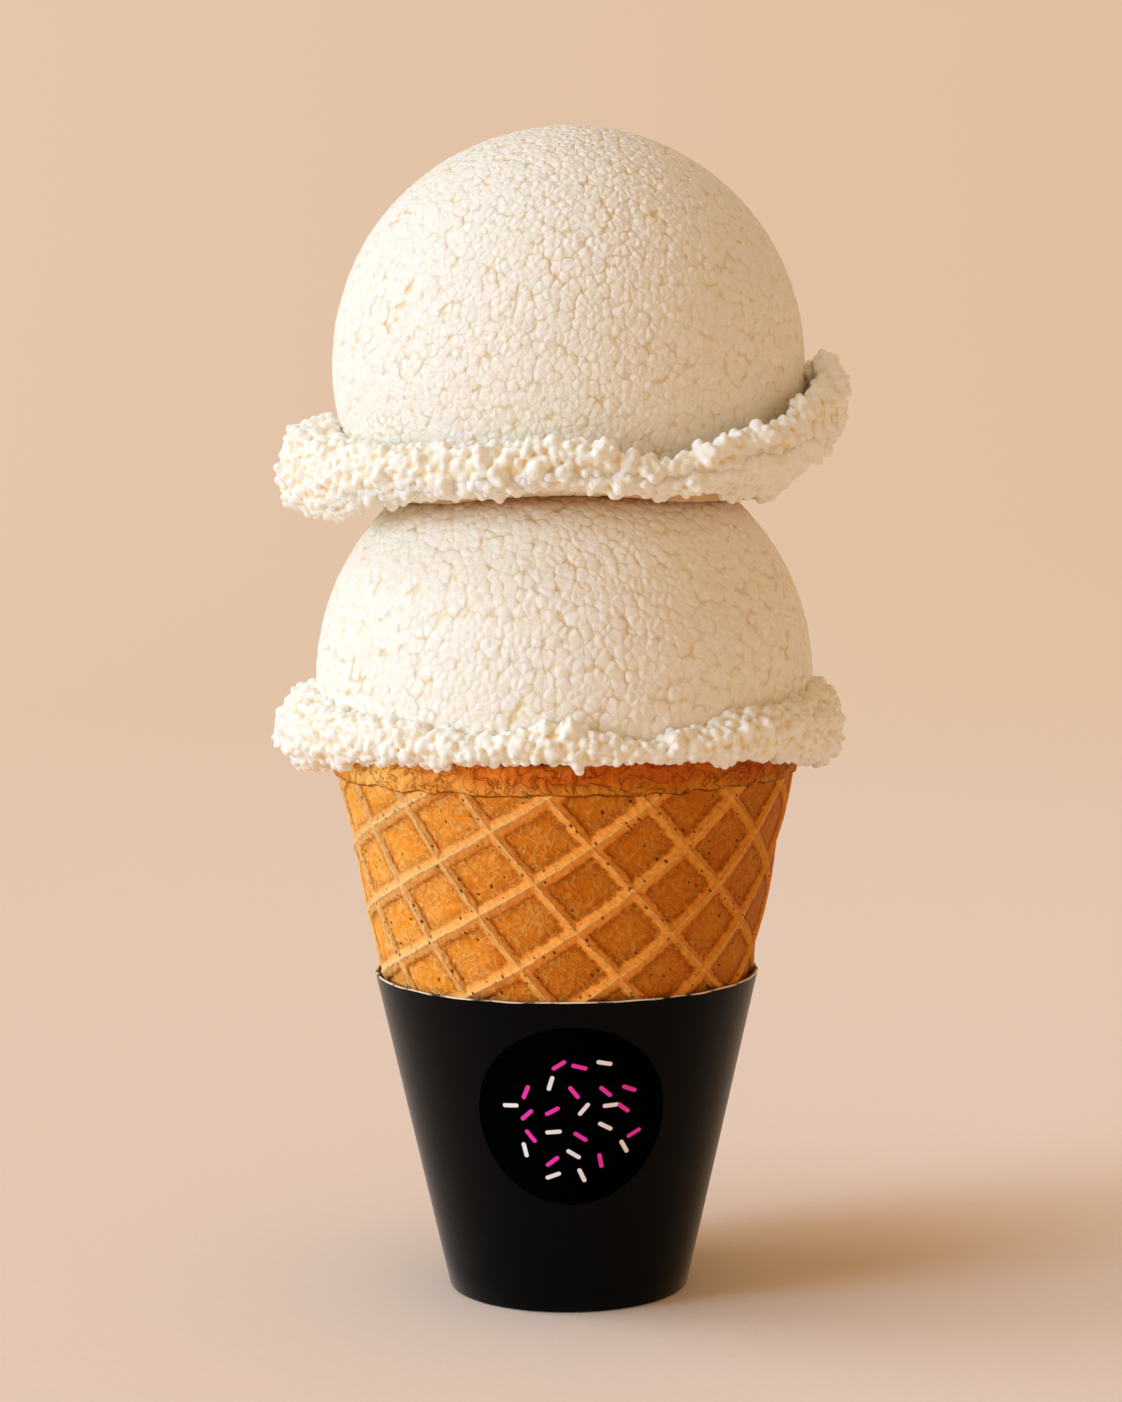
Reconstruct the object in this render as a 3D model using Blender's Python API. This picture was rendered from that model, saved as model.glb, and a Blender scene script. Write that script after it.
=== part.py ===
"""Ice cream cone: two vanilla scoops, one on the other, in a flat-bottomed waffle cup that stands
in a black card sleeve with a round sticker. Metres, +Z up, origin in the middle of the sleeve's base.
Azimuths are in degrees from +X towards +Y, so the front of the cone, at -Y, is at 270."""

import math

import bmesh
import bpy
from mathutils import Vector, noise

MM = 0.001

# Card sleeve: a thin tapered cup with a flat bottom
SLEEVE_HEIGHT = 41.4 * MM
SLEEVE_BASE_RADIUS = 15.45 * MM
SLEEVE_RIM_RADIUS = 24.75 * MM
SLEEVE_WALL = 0.35 * MM
SLEEVE_FLOOR = 0.6 * MM
SLEEVE_BASE_ROUNDING = 0.4 * MM
SLEEVE_SEGMENTS = 56

# Round sticker on the front of the sleeve
LABEL_RADIUS = 11.9 * MM
LABEL_HEIGHT = 26.5 * MM
LABEL_SHIFT = 0.5 * MM
LABEL_THICKNESS = 0.3 * MM
LABEL_SEGMENTS = 28
LABEL_RINGS = 3

# Waffle cup: a rolled sheet with a raised rim band above its lattice
GAP = 0.3 * MM
WAFFLE_HEIGHT = 71.0 * MM
WAFFLE_TAPER = 0.207
SLIDE_IN_EASE = 0.03 * MM
WAFFLE_RIM_RADIUS = SLEEVE_RIM_RADIUS - SLEEVE_WALL - GAP - SLIDE_IN_EASE
WAFFLE_FOOT_RADIUS = SLEEVE_BASE_RADIUS - SLEEVE_WALL - GAP
WAFFLE_FOOT_CHAMFER = 0.8 * MM
WAFFLE_SEGMENTS = 44
BAND_HEIGHT = 3.8 * MM
BAND_PROUD = 0.35 * MM
BAND_WAVE = 0.3 * MM
RIM_ROUNDING = 0.7 * MM
SEAM_AZIMUTH = 82.0
SEAM_STEP = 1.2 * MM
SEAM_RUN = 60.0
SEAM_HALF_GAP = 0.3
SEAM_CLEARANCE = 1.5

# Lattice of pockets, laid out on the sheet before it is rolled
RISING_RIB_ANGLE = 34.0
FALLING_RIB_ANGLE = 130.0
RISING_RIB_SPACING = 8.05 * MM
FALLING_RIB_SPACING = 8.52 * MM
LATTICE_SHIFT = -3.95 * MM
LATTICE_RISE = -11.2 * MM
RIB_WIDTH = 2.0 * MM
POCKET_DEPTH = 1.0 * MM
POCKET_FLOOR_SCALE = 0.86
POCKET_OVERCUT = 0.8 * MM
POCKET_MIN_AREA = 9.0 * MM * MM
COVERED_LEVEL = SLEEVE_HEIGHT - 3.0 * MM
LATTICE_CELLS = 20
SEARCH_MARGIN = 10.0 * MM

# Scoops: a dome with a ragged collar, pressed out where the scoop was turned off
LOWER_RADIUS = 31.7 * MM
LOWER_CENTRE = Vector((0.0, 0.0, 78.9 * MM))
UPPER_RADIUS = 30.0 * MM
UPPER_CENTRE = Vector((0.75 * MM, 0.0, 118.9 * MM))
SCOOP_SEGMENTS = 60
DOME_STEPS = 9
COLLAR_STEPS = 12
COLLAR_LUMP_SIZE = 5.5 * MM
COLLAR_LUMP_HEIGHT = 2.2 * MM
COLLAR_CRUMB_SIZE = 3.2 * MM
COLLAR_CRUMB_HEIGHT = 1.2 * MM
SEAT_GAP = 0.45 * MM
SEAT_RADIUS = 22.3 * MM
SEAT_RINGS = (1.0, 0.7, 0.38)
VALLEY_SHARE = 0.1
COLLAR_FIRST_TURN = 165.0
UPPER_LAST_TURN = -80.0
LOWER_LAST_TURN = -90.0
ROUGH_FROM = 0.15
COLLAR_CLEARANCE = 0.3 * MM
COLLAR_OVERHANG = 0.4 * MM
HANG_SLANT = 0.1 * MM

# Each collar by azimuth: reach of its middle from the scoop's axis, height of its middle from the
# dome's centre, half its width and half its height, all in millimetres
LOWER_COLLAR = (
    (0, 31.3, -5.6, 5.6, 6.8),
    (45, 31.8, -5.5, 4.2, 4.6),
    (90, 31.8, -5.7, 4.0, 4.2),
    (135, 31.8, -5.9, 4.6, 4.8),
    (180, 32.0, -5.9, 6.2, 6.6),
    (225, 32.0, -5.3, 4.4, 4.4),
    (250, 31.8, -5.9, 3.5, 3.3),
    (270, 31.9, -5.0, 3.7, 3.9),
    (288, 31.8, -6.3, 3.1, 2.8),
    (315, 32.2, -4.9, 4.4, 4.6),
)
UPPER_COLLAR = (
    (0, 33.5, -2.6, 2.4, 4.9),
    (45, 33.4, -5.4, 3.0, 4.6),
    (90, 32.6, -8.4, 3.4, 4.4),
    (135, 32.2, -11.1, 4.0, 4.8),
    (180, 32.2, -12.6, 6.0, 7.4),
    (206, 31.2, -13.8, 5.2, 6.2),
    (228, 32.4, -12.9, 4.2, 4.6),
    (248, 32.3, -12.4, 3.6, 4.2),
    (270, 32.2, -12.1, 3.3, 4.0),
    (290, 32.2, -13.1, 2.9, 3.1),
    (315, 33.0, -9.9, 2.9, 3.8),
    (338, 33.6, -6.3, 2.7, 4.6),
)


def clear_scene():
    for thing in list(bpy.data.objects):
        bpy.data.objects.remove(thing)


def make_material(name, colour, roughness):
    material = bpy.data.materials.new(name)
    material.use_nodes = True
    shader = material.node_tree.nodes["Principled BSDF"]
    shader.inputs["Base Color"].default_value = (*colour, 1.0)
    shader.inputs["Roughness"].default_value = roughness
    shader.inputs["Metallic"].default_value = 0.0
    return material


def add_object(name, body, material=None):
    """Turns a finished bmesh into an object, shaded smooth but for its sharp edges."""
    bmesh.ops.recalc_face_normals(body, faces=body.faces)
    mesh = bpy.data.meshes.new(name)
    body.to_mesh(mesh)
    body.free()
    mesh.shade_smooth()
    mesh.set_sharp_from_angle(angle=math.radians(35))
    thing = bpy.data.objects.new(name, mesh)
    bpy.context.collection.objects.link(thing)
    if material:
        mesh.materials.append(material)
    return thing


def even_azimuths(count):
    return [360.0 * step / count for step in range(count)]


def smooth_step(share):
    share = min(max(share, 0.0), 1.0)
    return share * share * (3.0 - 2.0 * share)


def lathe(azimuths, profile_at, first_pole, last_pole):
    """A closed body around an upright axis, whose profile may change with the azimuth."""
    body = bmesh.new()
    rings = [[body.verts.new(point) for point in profile_at(azimuth)] for azimuth in azimuths]
    first = body.verts.new(first_pole)
    last = body.verts.new(last_pole)
    for here, there in zip(rings, rings[1:] + rings[:1]):
        body.faces.new((first, here[0], there[0]))
        for row in range(len(here) - 1):
            body.faces.new((here[row], here[row + 1], there[row + 1], there[row]))
        body.faces.new((last, there[-1], here[-1]))
    return body


def around(centre, reach, azimuth, height):
    """The point at a reach and an azimuth from an upright axis through centre, at a height."""
    turn = math.radians(azimuth)
    return Vector((centre.x + reach * math.cos(turn), centre.y + reach * math.sin(turn), height))


# Card sleeve

SLEEVE_TAPER = (SLEEVE_RIM_RADIUS - SLEEVE_BASE_RADIUS) / SLEEVE_HEIGHT
AXIS = Vector((0.0, 0.0, 0.0))


def sleeve_radius(height):
    return SLEEVE_BASE_RADIUS + height * SLEEVE_TAPER


def sleeve_profile(azimuth):
    floor_radius = sleeve_radius(SLEEVE_FLOOR) - SLEEVE_WALL
    rim_inner = SLEEVE_RIM_RADIUS - SLEEVE_WALL
    base_flat = SLEEVE_BASE_RADIUS - SLEEVE_BASE_ROUNDING
    half_round = SLEEVE_BASE_ROUNDING * (1.0 - math.sqrt(0.5))
    outline = (
        (floor_radius, SLEEVE_FLOOR),
        (rim_inner, SLEEVE_HEIGHT),
        (SLEEVE_RIM_RADIUS, SLEEVE_HEIGHT),
        (sleeve_radius(SLEEVE_BASE_ROUNDING), SLEEVE_BASE_ROUNDING),
        (SLEEVE_BASE_RADIUS - half_round, half_round),
        (base_flat, 0.0),
    )
    return [around(AXIS, reach, azimuth, height) for reach, height in outline]


def build_sleeve(material):
    body = lathe(
        even_azimuths(SLEEVE_SEGMENTS),
        sleeve_profile,
        Vector((0.0, 0.0, SLEEVE_FLOOR)),
        AXIS,
    )
    return add_object("card_sleeve", body, material)


# Round sticker

def label_point(across, up, proud):
    """A point of the flat sticker, wrapped on the sleeve at a distance proud of its wall."""
    across += LABEL_SHIFT
    slope = math.atan(SLEEVE_TAPER)
    slant = LABEL_HEIGHT / math.cos(slope) + sleeve_radius(0.0) / math.sin(slope)
    slant_here = math.hypot(slant + up, across)
    turn = math.atan2(across, slant + up) / math.sin(slope)
    reach = slant_here * math.sin(slope) + proud * math.cos(slope)
    height = (slant_here - sleeve_radius(0.0) / math.sin(slope)) * math.cos(slope)
    return Vector((reach * math.sin(turn), -reach * math.cos(turn), height - proud * math.sin(slope)))


def build_label(material):
    body = bmesh.new()
    edges = []
    for proud in (GAP, GAP + LABEL_THICKNESS):
        rings = []
        for ring in range(1, LABEL_RINGS + 1):
            reach = LABEL_RADIUS * ring / LABEL_RINGS
            turns = [math.radians(angle) for angle in even_azimuths(LABEL_SEGMENTS)]
            points = [label_point(reach * math.cos(t), reach * math.sin(t), proud) for t in turns]
            rings.append([body.verts.new(point) for point in points])
        centre = body.verts.new(label_point(0.0, 0.0, proud))
        for step in range(LABEL_SEGMENTS):
            after = (step + 1) % LABEL_SEGMENTS
            body.faces.new((centre, rings[0][step], rings[0][after]))
            for inner, outer in zip(rings, rings[1:]):
                body.faces.new((inner[step], outer[step], outer[after], inner[after]))
        edges.append(rings[-1])
    for step in range(LABEL_SEGMENTS):
        after = (step + 1) % LABEL_SEGMENTS
        body.faces.new((edges[0][step], edges[1][step], edges[1][after], edges[0][after]))
    return add_object("round_label", body, material)


# Waffle cup

WAFFLE_FOOT_LEVEL = SLEEVE_FLOOR + GAP
BAND_LEVEL = WAFFLE_HEIGHT - BAND_HEIGHT
WAFFLE_SLOPE = math.atan(WAFFLE_TAPER)
WAFFLE_APEX = SLEEVE_HEIGHT - WAFFLE_RIM_RADIUS / WAFFLE_TAPER


def waffle_radius(height):
    """Outer radius of the sheet that shows; inside the sleeve the cup tapers with the sleeve."""
    if height >= COVERED_LEVEL:
        return WAFFLE_RIM_RADIUS + (height - SLEEVE_HEIGHT) * WAFFLE_TAPER
    knee = WAFFLE_RIM_RADIUS + (COVERED_LEVEL - SLEEVE_HEIGHT) * WAFFLE_TAPER
    share = (height - WAFFLE_FOOT_LEVEL) / (COVERED_LEVEL - WAFFLE_FOOT_LEVEL)
    return WAFFLE_FOOT_RADIUS + (knee - WAFFLE_FOOT_RADIUS) * share


def seam_drop(azimuth):
    """How far the outside falls just past the seam, where the sheet's end tucks under."""
    past = (azimuth - SEAM_AZIMUTH) % 360.0
    return SEAM_STEP * (1.0 - smooth_step(past / SEAM_RUN))


def band_wave(azimuth):
    place = around(AXIS, 3.0, azimuth, 0.0)
    return BAND_WAVE * noise.noise(place)


def waffle_profile(azimuth):
    drop = seam_drop(azimuth)
    lip = BAND_LEVEL + band_wave(azimuth)
    foot_edge = WAFFLE_FOOT_LEVEL + WAFFLE_FOOT_CHAMFER
    outline = (
        (waffle_radius(WAFFLE_HEIGHT) - BAND_PROUD, WAFFLE_HEIGHT),
        (waffle_radius(WAFFLE_HEIGHT) + BAND_PROUD, WAFFLE_HEIGHT - RIM_ROUNDING),
        (waffle_radius(lip) + BAND_PROUD, lip + BAND_PROUD),
        (waffle_radius(lip), lip),
        (waffle_radius(COVERED_LEVEL), COVERED_LEVEL),
        (waffle_radius(foot_edge), foot_edge),
        (waffle_radius(WAFFLE_FOOT_LEVEL) - WAFFLE_FOOT_CHAMFER, WAFFLE_FOOT_LEVEL),
    )
    return [around(AXIS, reach - drop, azimuth, height) for reach, height in outline]


def rolled(place, depth):
    """The point of the flat sheet at place, rolled into the cone, at a depth under its surface."""
    slant = place.length
    turn = math.atan2(place.x, place.y) / math.sin(WAFFLE_SLOPE)
    azimuth = 270.0 + math.degrees(turn)
    height = WAFFLE_APEX + slant * math.cos(WAFFLE_SLOPE)
    reach = slant * math.sin(WAFFLE_SLOPE) - depth - seam_drop(azimuth)
    return around(AXIS, reach, azimuth, height)


def slant_at(height):
    return (height - WAFFLE_APEX) / math.cos(WAFFLE_SLOPE)


def clip(outline, point, inward):
    """The part of a flat outline on the inward side of a line through point."""
    kept = []
    for here, there in zip(outline, outline[1:] + outline[:1]):
        side_here = (here - point).dot(inward)
        side_there = (there - point).dot(inward)
        if side_here >= 0.0:
            kept.append(here)
        if side_here * side_there < 0.0:
            kept.append(here.lerp(there, side_here / (side_here - side_there)))
    return kept


def outline_area(outline):
    pairs = zip(outline, outline[1:] + outline[:1])
    return 0.5 * abs(sum(here.x * there.y - here.y * there.x for here, there in pairs))


def direction(angle):
    turn = math.radians(angle)
    return Vector((math.cos(turn), math.sin(turn), 0.0))


def pocket_outlines():
    """Outlines of the pockets on the flat sheet: every cell of the lattice, cut off by the rim
    band, the sheet's two ends and the covered part of the cup."""
    rising = direction(RISING_RIB_ANGLE)
    falling = direction(FALLING_RIB_ANGLE)
    crossing = math.sin(math.radians(FALLING_RIB_ANGLE - RISING_RIB_ANGLE))
    along_rising = rising * (FALLING_RIB_SPACING / crossing)
    along_falling = falling * (RISING_RIB_SPACING / crossing)
    start = Vector((LATTICE_SHIFT, slant_at(BAND_LEVEL) + LATTICE_RISE, 0.0))
    half_share = Vector((RIB_WIDTH / FALLING_RIB_SPACING, RIB_WIDTH / RISING_RIB_SPACING)) * 0.5
    corners = (
        (half_share.x, half_share.y),
        (1.0 - half_share.x, half_share.y),
        (1.0 - half_share.x, 1.0 - half_share.y),
        (half_share.x, 1.0 - half_share.y),
    )
    top = slant_at(BAND_LEVEL - BAND_WAVE) - 0.25 * RIB_WIDTH
    bottom = slant_at(COVERED_LEVEL)
    sector = math.radians(180.0) * math.sin(WAFFLE_SLOPE)
    seam_offset = math.radians(SEAM_AZIMUTH - 90.0) * math.sin(WAFFLE_SLOPE)
    outlines = []
    for column in range(-LATTICE_CELLS, LATTICE_CELLS):
        for row in range(-LATTICE_CELLS, LATTICE_CELLS):
            corner_places = [
                start + along_rising * (column + share_x) + along_falling * (row + share_y)
                for share_x, share_y in corners
            ]
            middle = sum(corner_places, Vector()) / 4.0
            if not bottom - SEARCH_MARGIN < middle.length < top + SEARCH_MARGIN or middle.y < 0.0:
                continue
            radial = middle.normalized()
            outline = clip(corner_places, radial * top, -radial)
            outline = clip(outline, radial * bottom, radial)
            for side in (1.0, -1.0):
                end = side * sector + seam_offset
                inward = Vector((-side * math.cos(end), side * math.sin(end), 0.0))
                outline = clip(outline, inward * (0.5 * RIB_WIDTH), inward)
            if len(outline) > 2 and outline_area(outline) > POCKET_MIN_AREA:
                outlines.append(outline)
    return outlines


def build_pocket_cutter():
    """One tapered prism for each pocket, from just outside the sheet down to the pocket's floor."""
    body = bmesh.new()
    growth = (1.0 - POCKET_FLOOR_SCALE) * POCKET_OVERCUT / POCKET_DEPTH
    for outline in pocket_outlines():
        middle = sum(outline, Vector()) / len(outline)
        mouth = [rolled(middle + (p - middle) * (1.0 + growth), -POCKET_OVERCUT) for p in outline]
        floor = [rolled(middle + (p - middle) * POCKET_FLOOR_SCALE, POCKET_DEPTH) for p in outline]
        mouth_verts = [body.verts.new(point) for point in mouth]
        floor_verts = [body.verts.new(point) for point in floor]
        body.faces.new(mouth_verts)
        body.faces.new(reversed(floor_verts))
        for step in range(len(outline)):
            after = (step + 1) % len(outline)
            body.faces.new((mouth_verts[step], floor_verts[step], floor_verts[after], mouth_verts[after]))
    cutter = add_object("pocket_cutter", body)
    cutter.hide_render = True
    cutter.display_type = "WIRE"
    return cutter


def build_waffle(material):
    seam_sides = [SEAM_AZIMUTH - SEAM_HALF_GAP, SEAM_AZIMUTH + SEAM_HALF_GAP]
    far_enough = [a for a in even_azimuths(WAFFLE_SEGMENTS) if abs(a - SEAM_AZIMUTH) > SEAM_CLEARANCE]
    azimuths = sorted(far_enough + seam_sides)
    body = lathe(
        azimuths,
        waffle_profile,
        Vector((0.0, 0.0, WAFFLE_HEIGHT)),
        Vector((0.0, 0.0, WAFFLE_FOOT_LEVEL)),
    )
    waffle = add_object("waffle_cup", body, material)
    cut = waffle.modifiers.new("pockets", "BOOLEAN")
    cut.operation = "DIFFERENCE"
    cut.object = build_pocket_cutter()
    return waffle


# Scoops

def collar_at(table, azimuth):
    """Reach, height, half width and half height of a collar, eased between the table's rows."""
    rows = list(table) + [(360 + table[0][0], *table[0][1:])]
    for low, high in zip(rows, rows[1:]):
        if low[0] <= azimuth <= high[0]:
            share = smooth_step((azimuth - low[0]) / (high[0] - low[0]))
            return [MM * (a + (b - a) * share) for a, b in zip(low[1:], high[1:])]
    raise ValueError("no collar at this azimuth")


def lump(point):
    """Height of the ragged surface: broad lumps with finer crumbs on them."""
    broad = noise.noise(point / COLLAR_LUMP_SIZE)
    fine = noise.noise(point / COLLAR_CRUMB_SIZE)
    return COLLAR_LUMP_HEIGHT * broad + COLLAR_CRUMB_HEIGHT * fine


def dome_reach(radius, height):
    return math.sqrt(max(radius * radius - height * height, 0.0))


def dome_and_collar(centre, radius, table, azimuth, last_turn):
    """Points from near the top of the dome down its side, then out and round the collar."""
    reach, height, half_width, half_height = collar_at(table, azimuth)
    valley = height - VALLEY_SHARE * half_height
    valley_turn = math.acos(valley / radius)
    points = []
    for step in range(1, DOME_STEPS + 1):
        turn = valley_turn * step / DOME_STEPS
        points.append(around(centre, radius * math.sin(turn), azimuth, centre.z + radius * math.cos(turn)))
    for step in range(COLLAR_STEPS):
        share = step / (COLLAR_STEPS - 1)
        turn = math.radians(COLLAR_FIRST_TURN + (last_turn - COLLAR_FIRST_TURN) * share)
        rough = lump(around(centre, reach, azimuth, centre.z + height) + Vector((0, 0, turn * half_width)))
        rough *= math.sin(math.pi * (ROUGH_FROM + share * (1.0 - ROUGH_FROM)))
        out = reach + (half_width + rough) * math.cos(turn)
        up = height + (half_height + rough) * math.sin(turn)
        out = max(out, dome_reach(radius, up) + COLLAR_CLEARANCE)
        points.append(around(centre, out, azimuth, centre.z + up))
    return points


def upper_profile(azimuth):
    points = dome_and_collar(UPPER_CENTRE, UPPER_RADIUS, UPPER_COLLAR, azimuth, UPPER_LAST_TURN)
    for share in SEAT_RINGS:
        points.append(on_lower_dome(around(UPPER_CENTRE, SEAT_RADIUS * share, azimuth, 0.0)))
    return points


def on_lower_dome(place):
    """The point above place that clears the lower dome by the seat's gap."""
    offset = place - LOWER_CENTRE
    clear = LOWER_RADIUS + SEAT_GAP
    rise = math.sqrt(clear * clear - offset.x * offset.x - offset.y * offset.y)
    return Vector((place.x, place.y, LOWER_CENTRE.z + rise))


def lower_profile(azimuth):
    points = dome_and_collar(LOWER_CENTRE, LOWER_RADIUS, LOWER_COLLAR, azimuth, LOWER_LAST_TURN)
    seat = WAFFLE_HEIGHT + GAP
    bottom = min(points[-1].z, WAFFLE_HEIGHT - COLLAR_OVERHANG)
    inside = waffle_radius(seat) + BAND_PROUD + GAP
    points.append(around(LOWER_CENTRE, inside + HANG_SLANT, azimuth, bottom))
    points.append(around(LOWER_CENTRE, inside, azimuth, seat))
    return points


def build_scoop(name, profile_at, top, bottom, material):
    body = lathe(even_azimuths(SCOOP_SEGMENTS), profile_at, top, bottom)
    return add_object(name, body, material)


def main():
    clear_scene()
    vanilla = make_material("vanilla_ice_cream", (0.86, 0.76, 0.6), 0.55)
    biscuit = make_material("baked_waffle", (0.62, 0.28, 0.06), 0.6)
    card = make_material("black_card", (0.008, 0.008, 0.008), 0.45)
    sticker = make_material("black_sticker", (0.003, 0.003, 0.003), 0.6)
    build_sleeve(card)
    build_label(sticker)
    build_waffle(biscuit)
    lower_top = LOWER_CENTRE + Vector((0.0, 0.0, LOWER_RADIUS))
    lower_bottom = Vector((0.0, 0.0, WAFFLE_HEIGHT + GAP))
    build_scoop("lower_scoop", lower_profile, lower_top, lower_bottom, vanilla)
    upper_top = UPPER_CENTRE + Vector((0.0, 0.0, UPPER_RADIUS))
    build_scoop("upper_scoop", upper_profile, upper_top, on_lower_dome(UPPER_CENTRE), vanilla)


main()
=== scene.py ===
# %% [markdown]
# # An ice cream cone with two scoops
# Two vanilla scoops stand on each other in a waffle cup, and the cup stands in a black card sleeve.
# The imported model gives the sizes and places. This script makes the surfaces that the eye sees:
# grainy ice cream, baked waffle, coated card and a printed sticker.

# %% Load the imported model
import math

import bmesh
import bpy
from mathutils import Matrix, Vector, noise


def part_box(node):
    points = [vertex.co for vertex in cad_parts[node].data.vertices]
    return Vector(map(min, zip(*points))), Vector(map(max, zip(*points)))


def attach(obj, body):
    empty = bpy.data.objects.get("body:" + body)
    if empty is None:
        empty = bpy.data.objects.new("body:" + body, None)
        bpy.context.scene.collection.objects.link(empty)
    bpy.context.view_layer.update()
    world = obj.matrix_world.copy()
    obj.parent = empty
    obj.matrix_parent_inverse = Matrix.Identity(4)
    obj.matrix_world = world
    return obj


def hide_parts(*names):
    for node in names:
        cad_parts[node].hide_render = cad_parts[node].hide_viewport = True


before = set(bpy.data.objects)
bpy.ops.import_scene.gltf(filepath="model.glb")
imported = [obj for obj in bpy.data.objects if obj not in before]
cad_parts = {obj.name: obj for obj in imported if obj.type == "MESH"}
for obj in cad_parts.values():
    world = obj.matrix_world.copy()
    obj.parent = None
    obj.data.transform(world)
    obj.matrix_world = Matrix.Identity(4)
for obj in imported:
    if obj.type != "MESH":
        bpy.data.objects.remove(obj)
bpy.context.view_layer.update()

# %% [markdown]
# ## Sizes
# Everything is in metres, so MM turns a size in millimetres into metres. The boxes of the packed
# nodes say where the sleeve ends, how high the cup stands and where the top of each dome is.

# %% Read the places of the pieces
MM = 0.001
sleeve_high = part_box("card_sleeve")[1]
cup_low, cup_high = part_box("waffle_cup")
lower_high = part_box("lower_scoop")[1]
upper_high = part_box("upper_scoop")[1]

SLEEVE_HEIGHT = sleeve_high.z
SLEEVE_RIM_RADIUS = sleeve_high.x
CUP_TOP = cup_high.z
CUP_FOOT = cup_low.z
LOWER_RADIUS = 31.7 * MM
UPPER_RADIUS = 30.0 * MM
UPPER_SHIFT = 0.75 * MM
LOWER_CENTRE = Vector((0.0, 0.0, lower_high.z - LOWER_RADIUS))
UPPER_CENTRE = Vector((UPPER_SHIFT, 0.0, upper_high.z - UPPER_RADIUS))
print("sleeve height", SLEEVE_HEIGHT, "cup top", CUP_TOP, "dome centres", LOWER_CENTRE.z, UPPER_CENTRE.z)

# %% [markdown]
# ## Colours and nodes
# A colour is written as an sRGB hex code, as a paint chart has it, and turned linear, as the
# renderer needs it. One function adds a node of any kind. Its inputs are given by number or by
# name: a value goes on the socket, and another node or its socket is linked to it.

# %% Helpers for colours and nodes
SOFT = {"interpolation_type": "SMOOTHSTEP"}
# a Mix node of colours takes its share in input 0 and its colours in inputs 6 and 7
COLOUR = {"data_type": "RGBA"}
TINT = {"data_type": "RGBA", "blend_type": "MULTIPLY"}


def linear(code):
    """A hex colour such as #ffeedd as linear red, green, blue and alpha."""
    channels = [int(code[start:start + 2], 16) / 255 for start in (1, 3, 5)]
    return (*[c / 12.92 if c <= 0.04045 else ((c + 0.055) / 1.055) ** 2.4 for c in channels], 1.0)


def give_inputs(node, inputs):
    """Sets or links a node's inputs. A node given as a value is linked by its first output in use."""
    for name, value in inputs.items() if isinstance(inputs, dict) else enumerate(inputs):
        if isinstance(value, bpy.types.Node):
            value = next(output for output in value.outputs if output.enabled)
        if isinstance(value, bpy.types.NodeSocket):
            node.id_data.links.new(value, node.inputs[name])
        else:
            node.inputs[name].default_value = value


def add_node(tree, kind, inputs=(), **settings):
    """Adds a node, sets its attributes, and sets or links its inputs."""
    node = tree.nodes.new(kind)
    for name, value in settings.items():
        setattr(node, name, value)
    give_inputs(node, inputs)
    return node


def ramp_colours(node, stops):
    """Gives a Color Ramp its stops, as pairs of a position and a hex colour. Returns its colour."""
    ramp = node.color_ramp
    while len(ramp.elements) < len(stops):
        ramp.elements.new(0.5)
    for element, (position, code) in zip(ramp.elements, stops):
        element.position = position
        element.color = linear(code)
    return node.outputs["Color"]


def new_material(name):
    """A material with its output and a Principled shader. Returns material, tree and shader."""
    material = bpy.data.materials.new(name)
    material.use_nodes = True
    return material, material.node_tree, material.node_tree.nodes["Principled BSDF"]


print("mid grey", "#808080", "is", round(linear("#808080")[0], 3), "when linear")

# %% [markdown]
# ## Meshes
# An operator acts on all that is selected, so everything is deselected first. A modifier is
# applied at once, and a Geometry Nodes tree is built and applied in the same way. A finished
# piece is named, gets its materials, is put under an empty, and hides the imported part it replaces.

# %% Helpers for meshes
def start_fresh(active=None):
    """Leaves edit mode and selects nothing, or only the piece that is to be worked on."""
    if bpy.context.object and bpy.context.object.mode != "OBJECT":
        bpy.ops.object.mode_set(mode="OBJECT")
    bpy.ops.object.select_all(action="DESELECT")
    if active:
        bpy.context.view_layer.objects.active = active
        active.select_set(True)


def apply_modifier(piece, modifier):
    start_fresh(piece)
    bpy.ops.object.modifier_apply(modifier=modifier.name)


def new_mesh_nodes(name):
    """A Geometry Nodes tree with its two ends. Returns the tree and the geometry that comes in."""
    tree = bpy.data.node_groups.new(name, "GeometryNodeTree")
    for end in ("INPUT", "OUTPUT"):
        tree.interface.new_socket("Geometry", in_out=end, socket_type="NodeSocketGeometry")
    return tree, tree.nodes.new("NodeGroupInput").outputs[0]


def apply_mesh_nodes(piece, tree, result):
    """Ends a Geometry Nodes tree with a node's geometry and applies it to a piece."""
    add_node(tree, "NodeGroupOutput", [result])
    modifier = piece.modifiers.new(tree.name, "NODES")
    modifier.node_group = tree
    apply_modifier(piece, modifier)


def finish_piece(piece, name, node, materials):
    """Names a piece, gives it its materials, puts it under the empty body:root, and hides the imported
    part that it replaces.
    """
    piece.name = name
    piece.data.materials.clear()
    for material in materials:
        piece.data.materials.append(material)
    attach(piece, "root")
    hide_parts(node)
    piece.data.calc_loop_triangles()
    print(name, "has", len(piece.data.loop_triangles), "triangles")


# %% [markdown]
# ## A round wall, ring by ring
# The paper sweep and the card sleeve are both round walls. Each starts as a disc. Its rim is
# extruded up and then scaled to the next radius, once for every ring, which is how a wall of any
# profile is drawn by hand.

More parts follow.
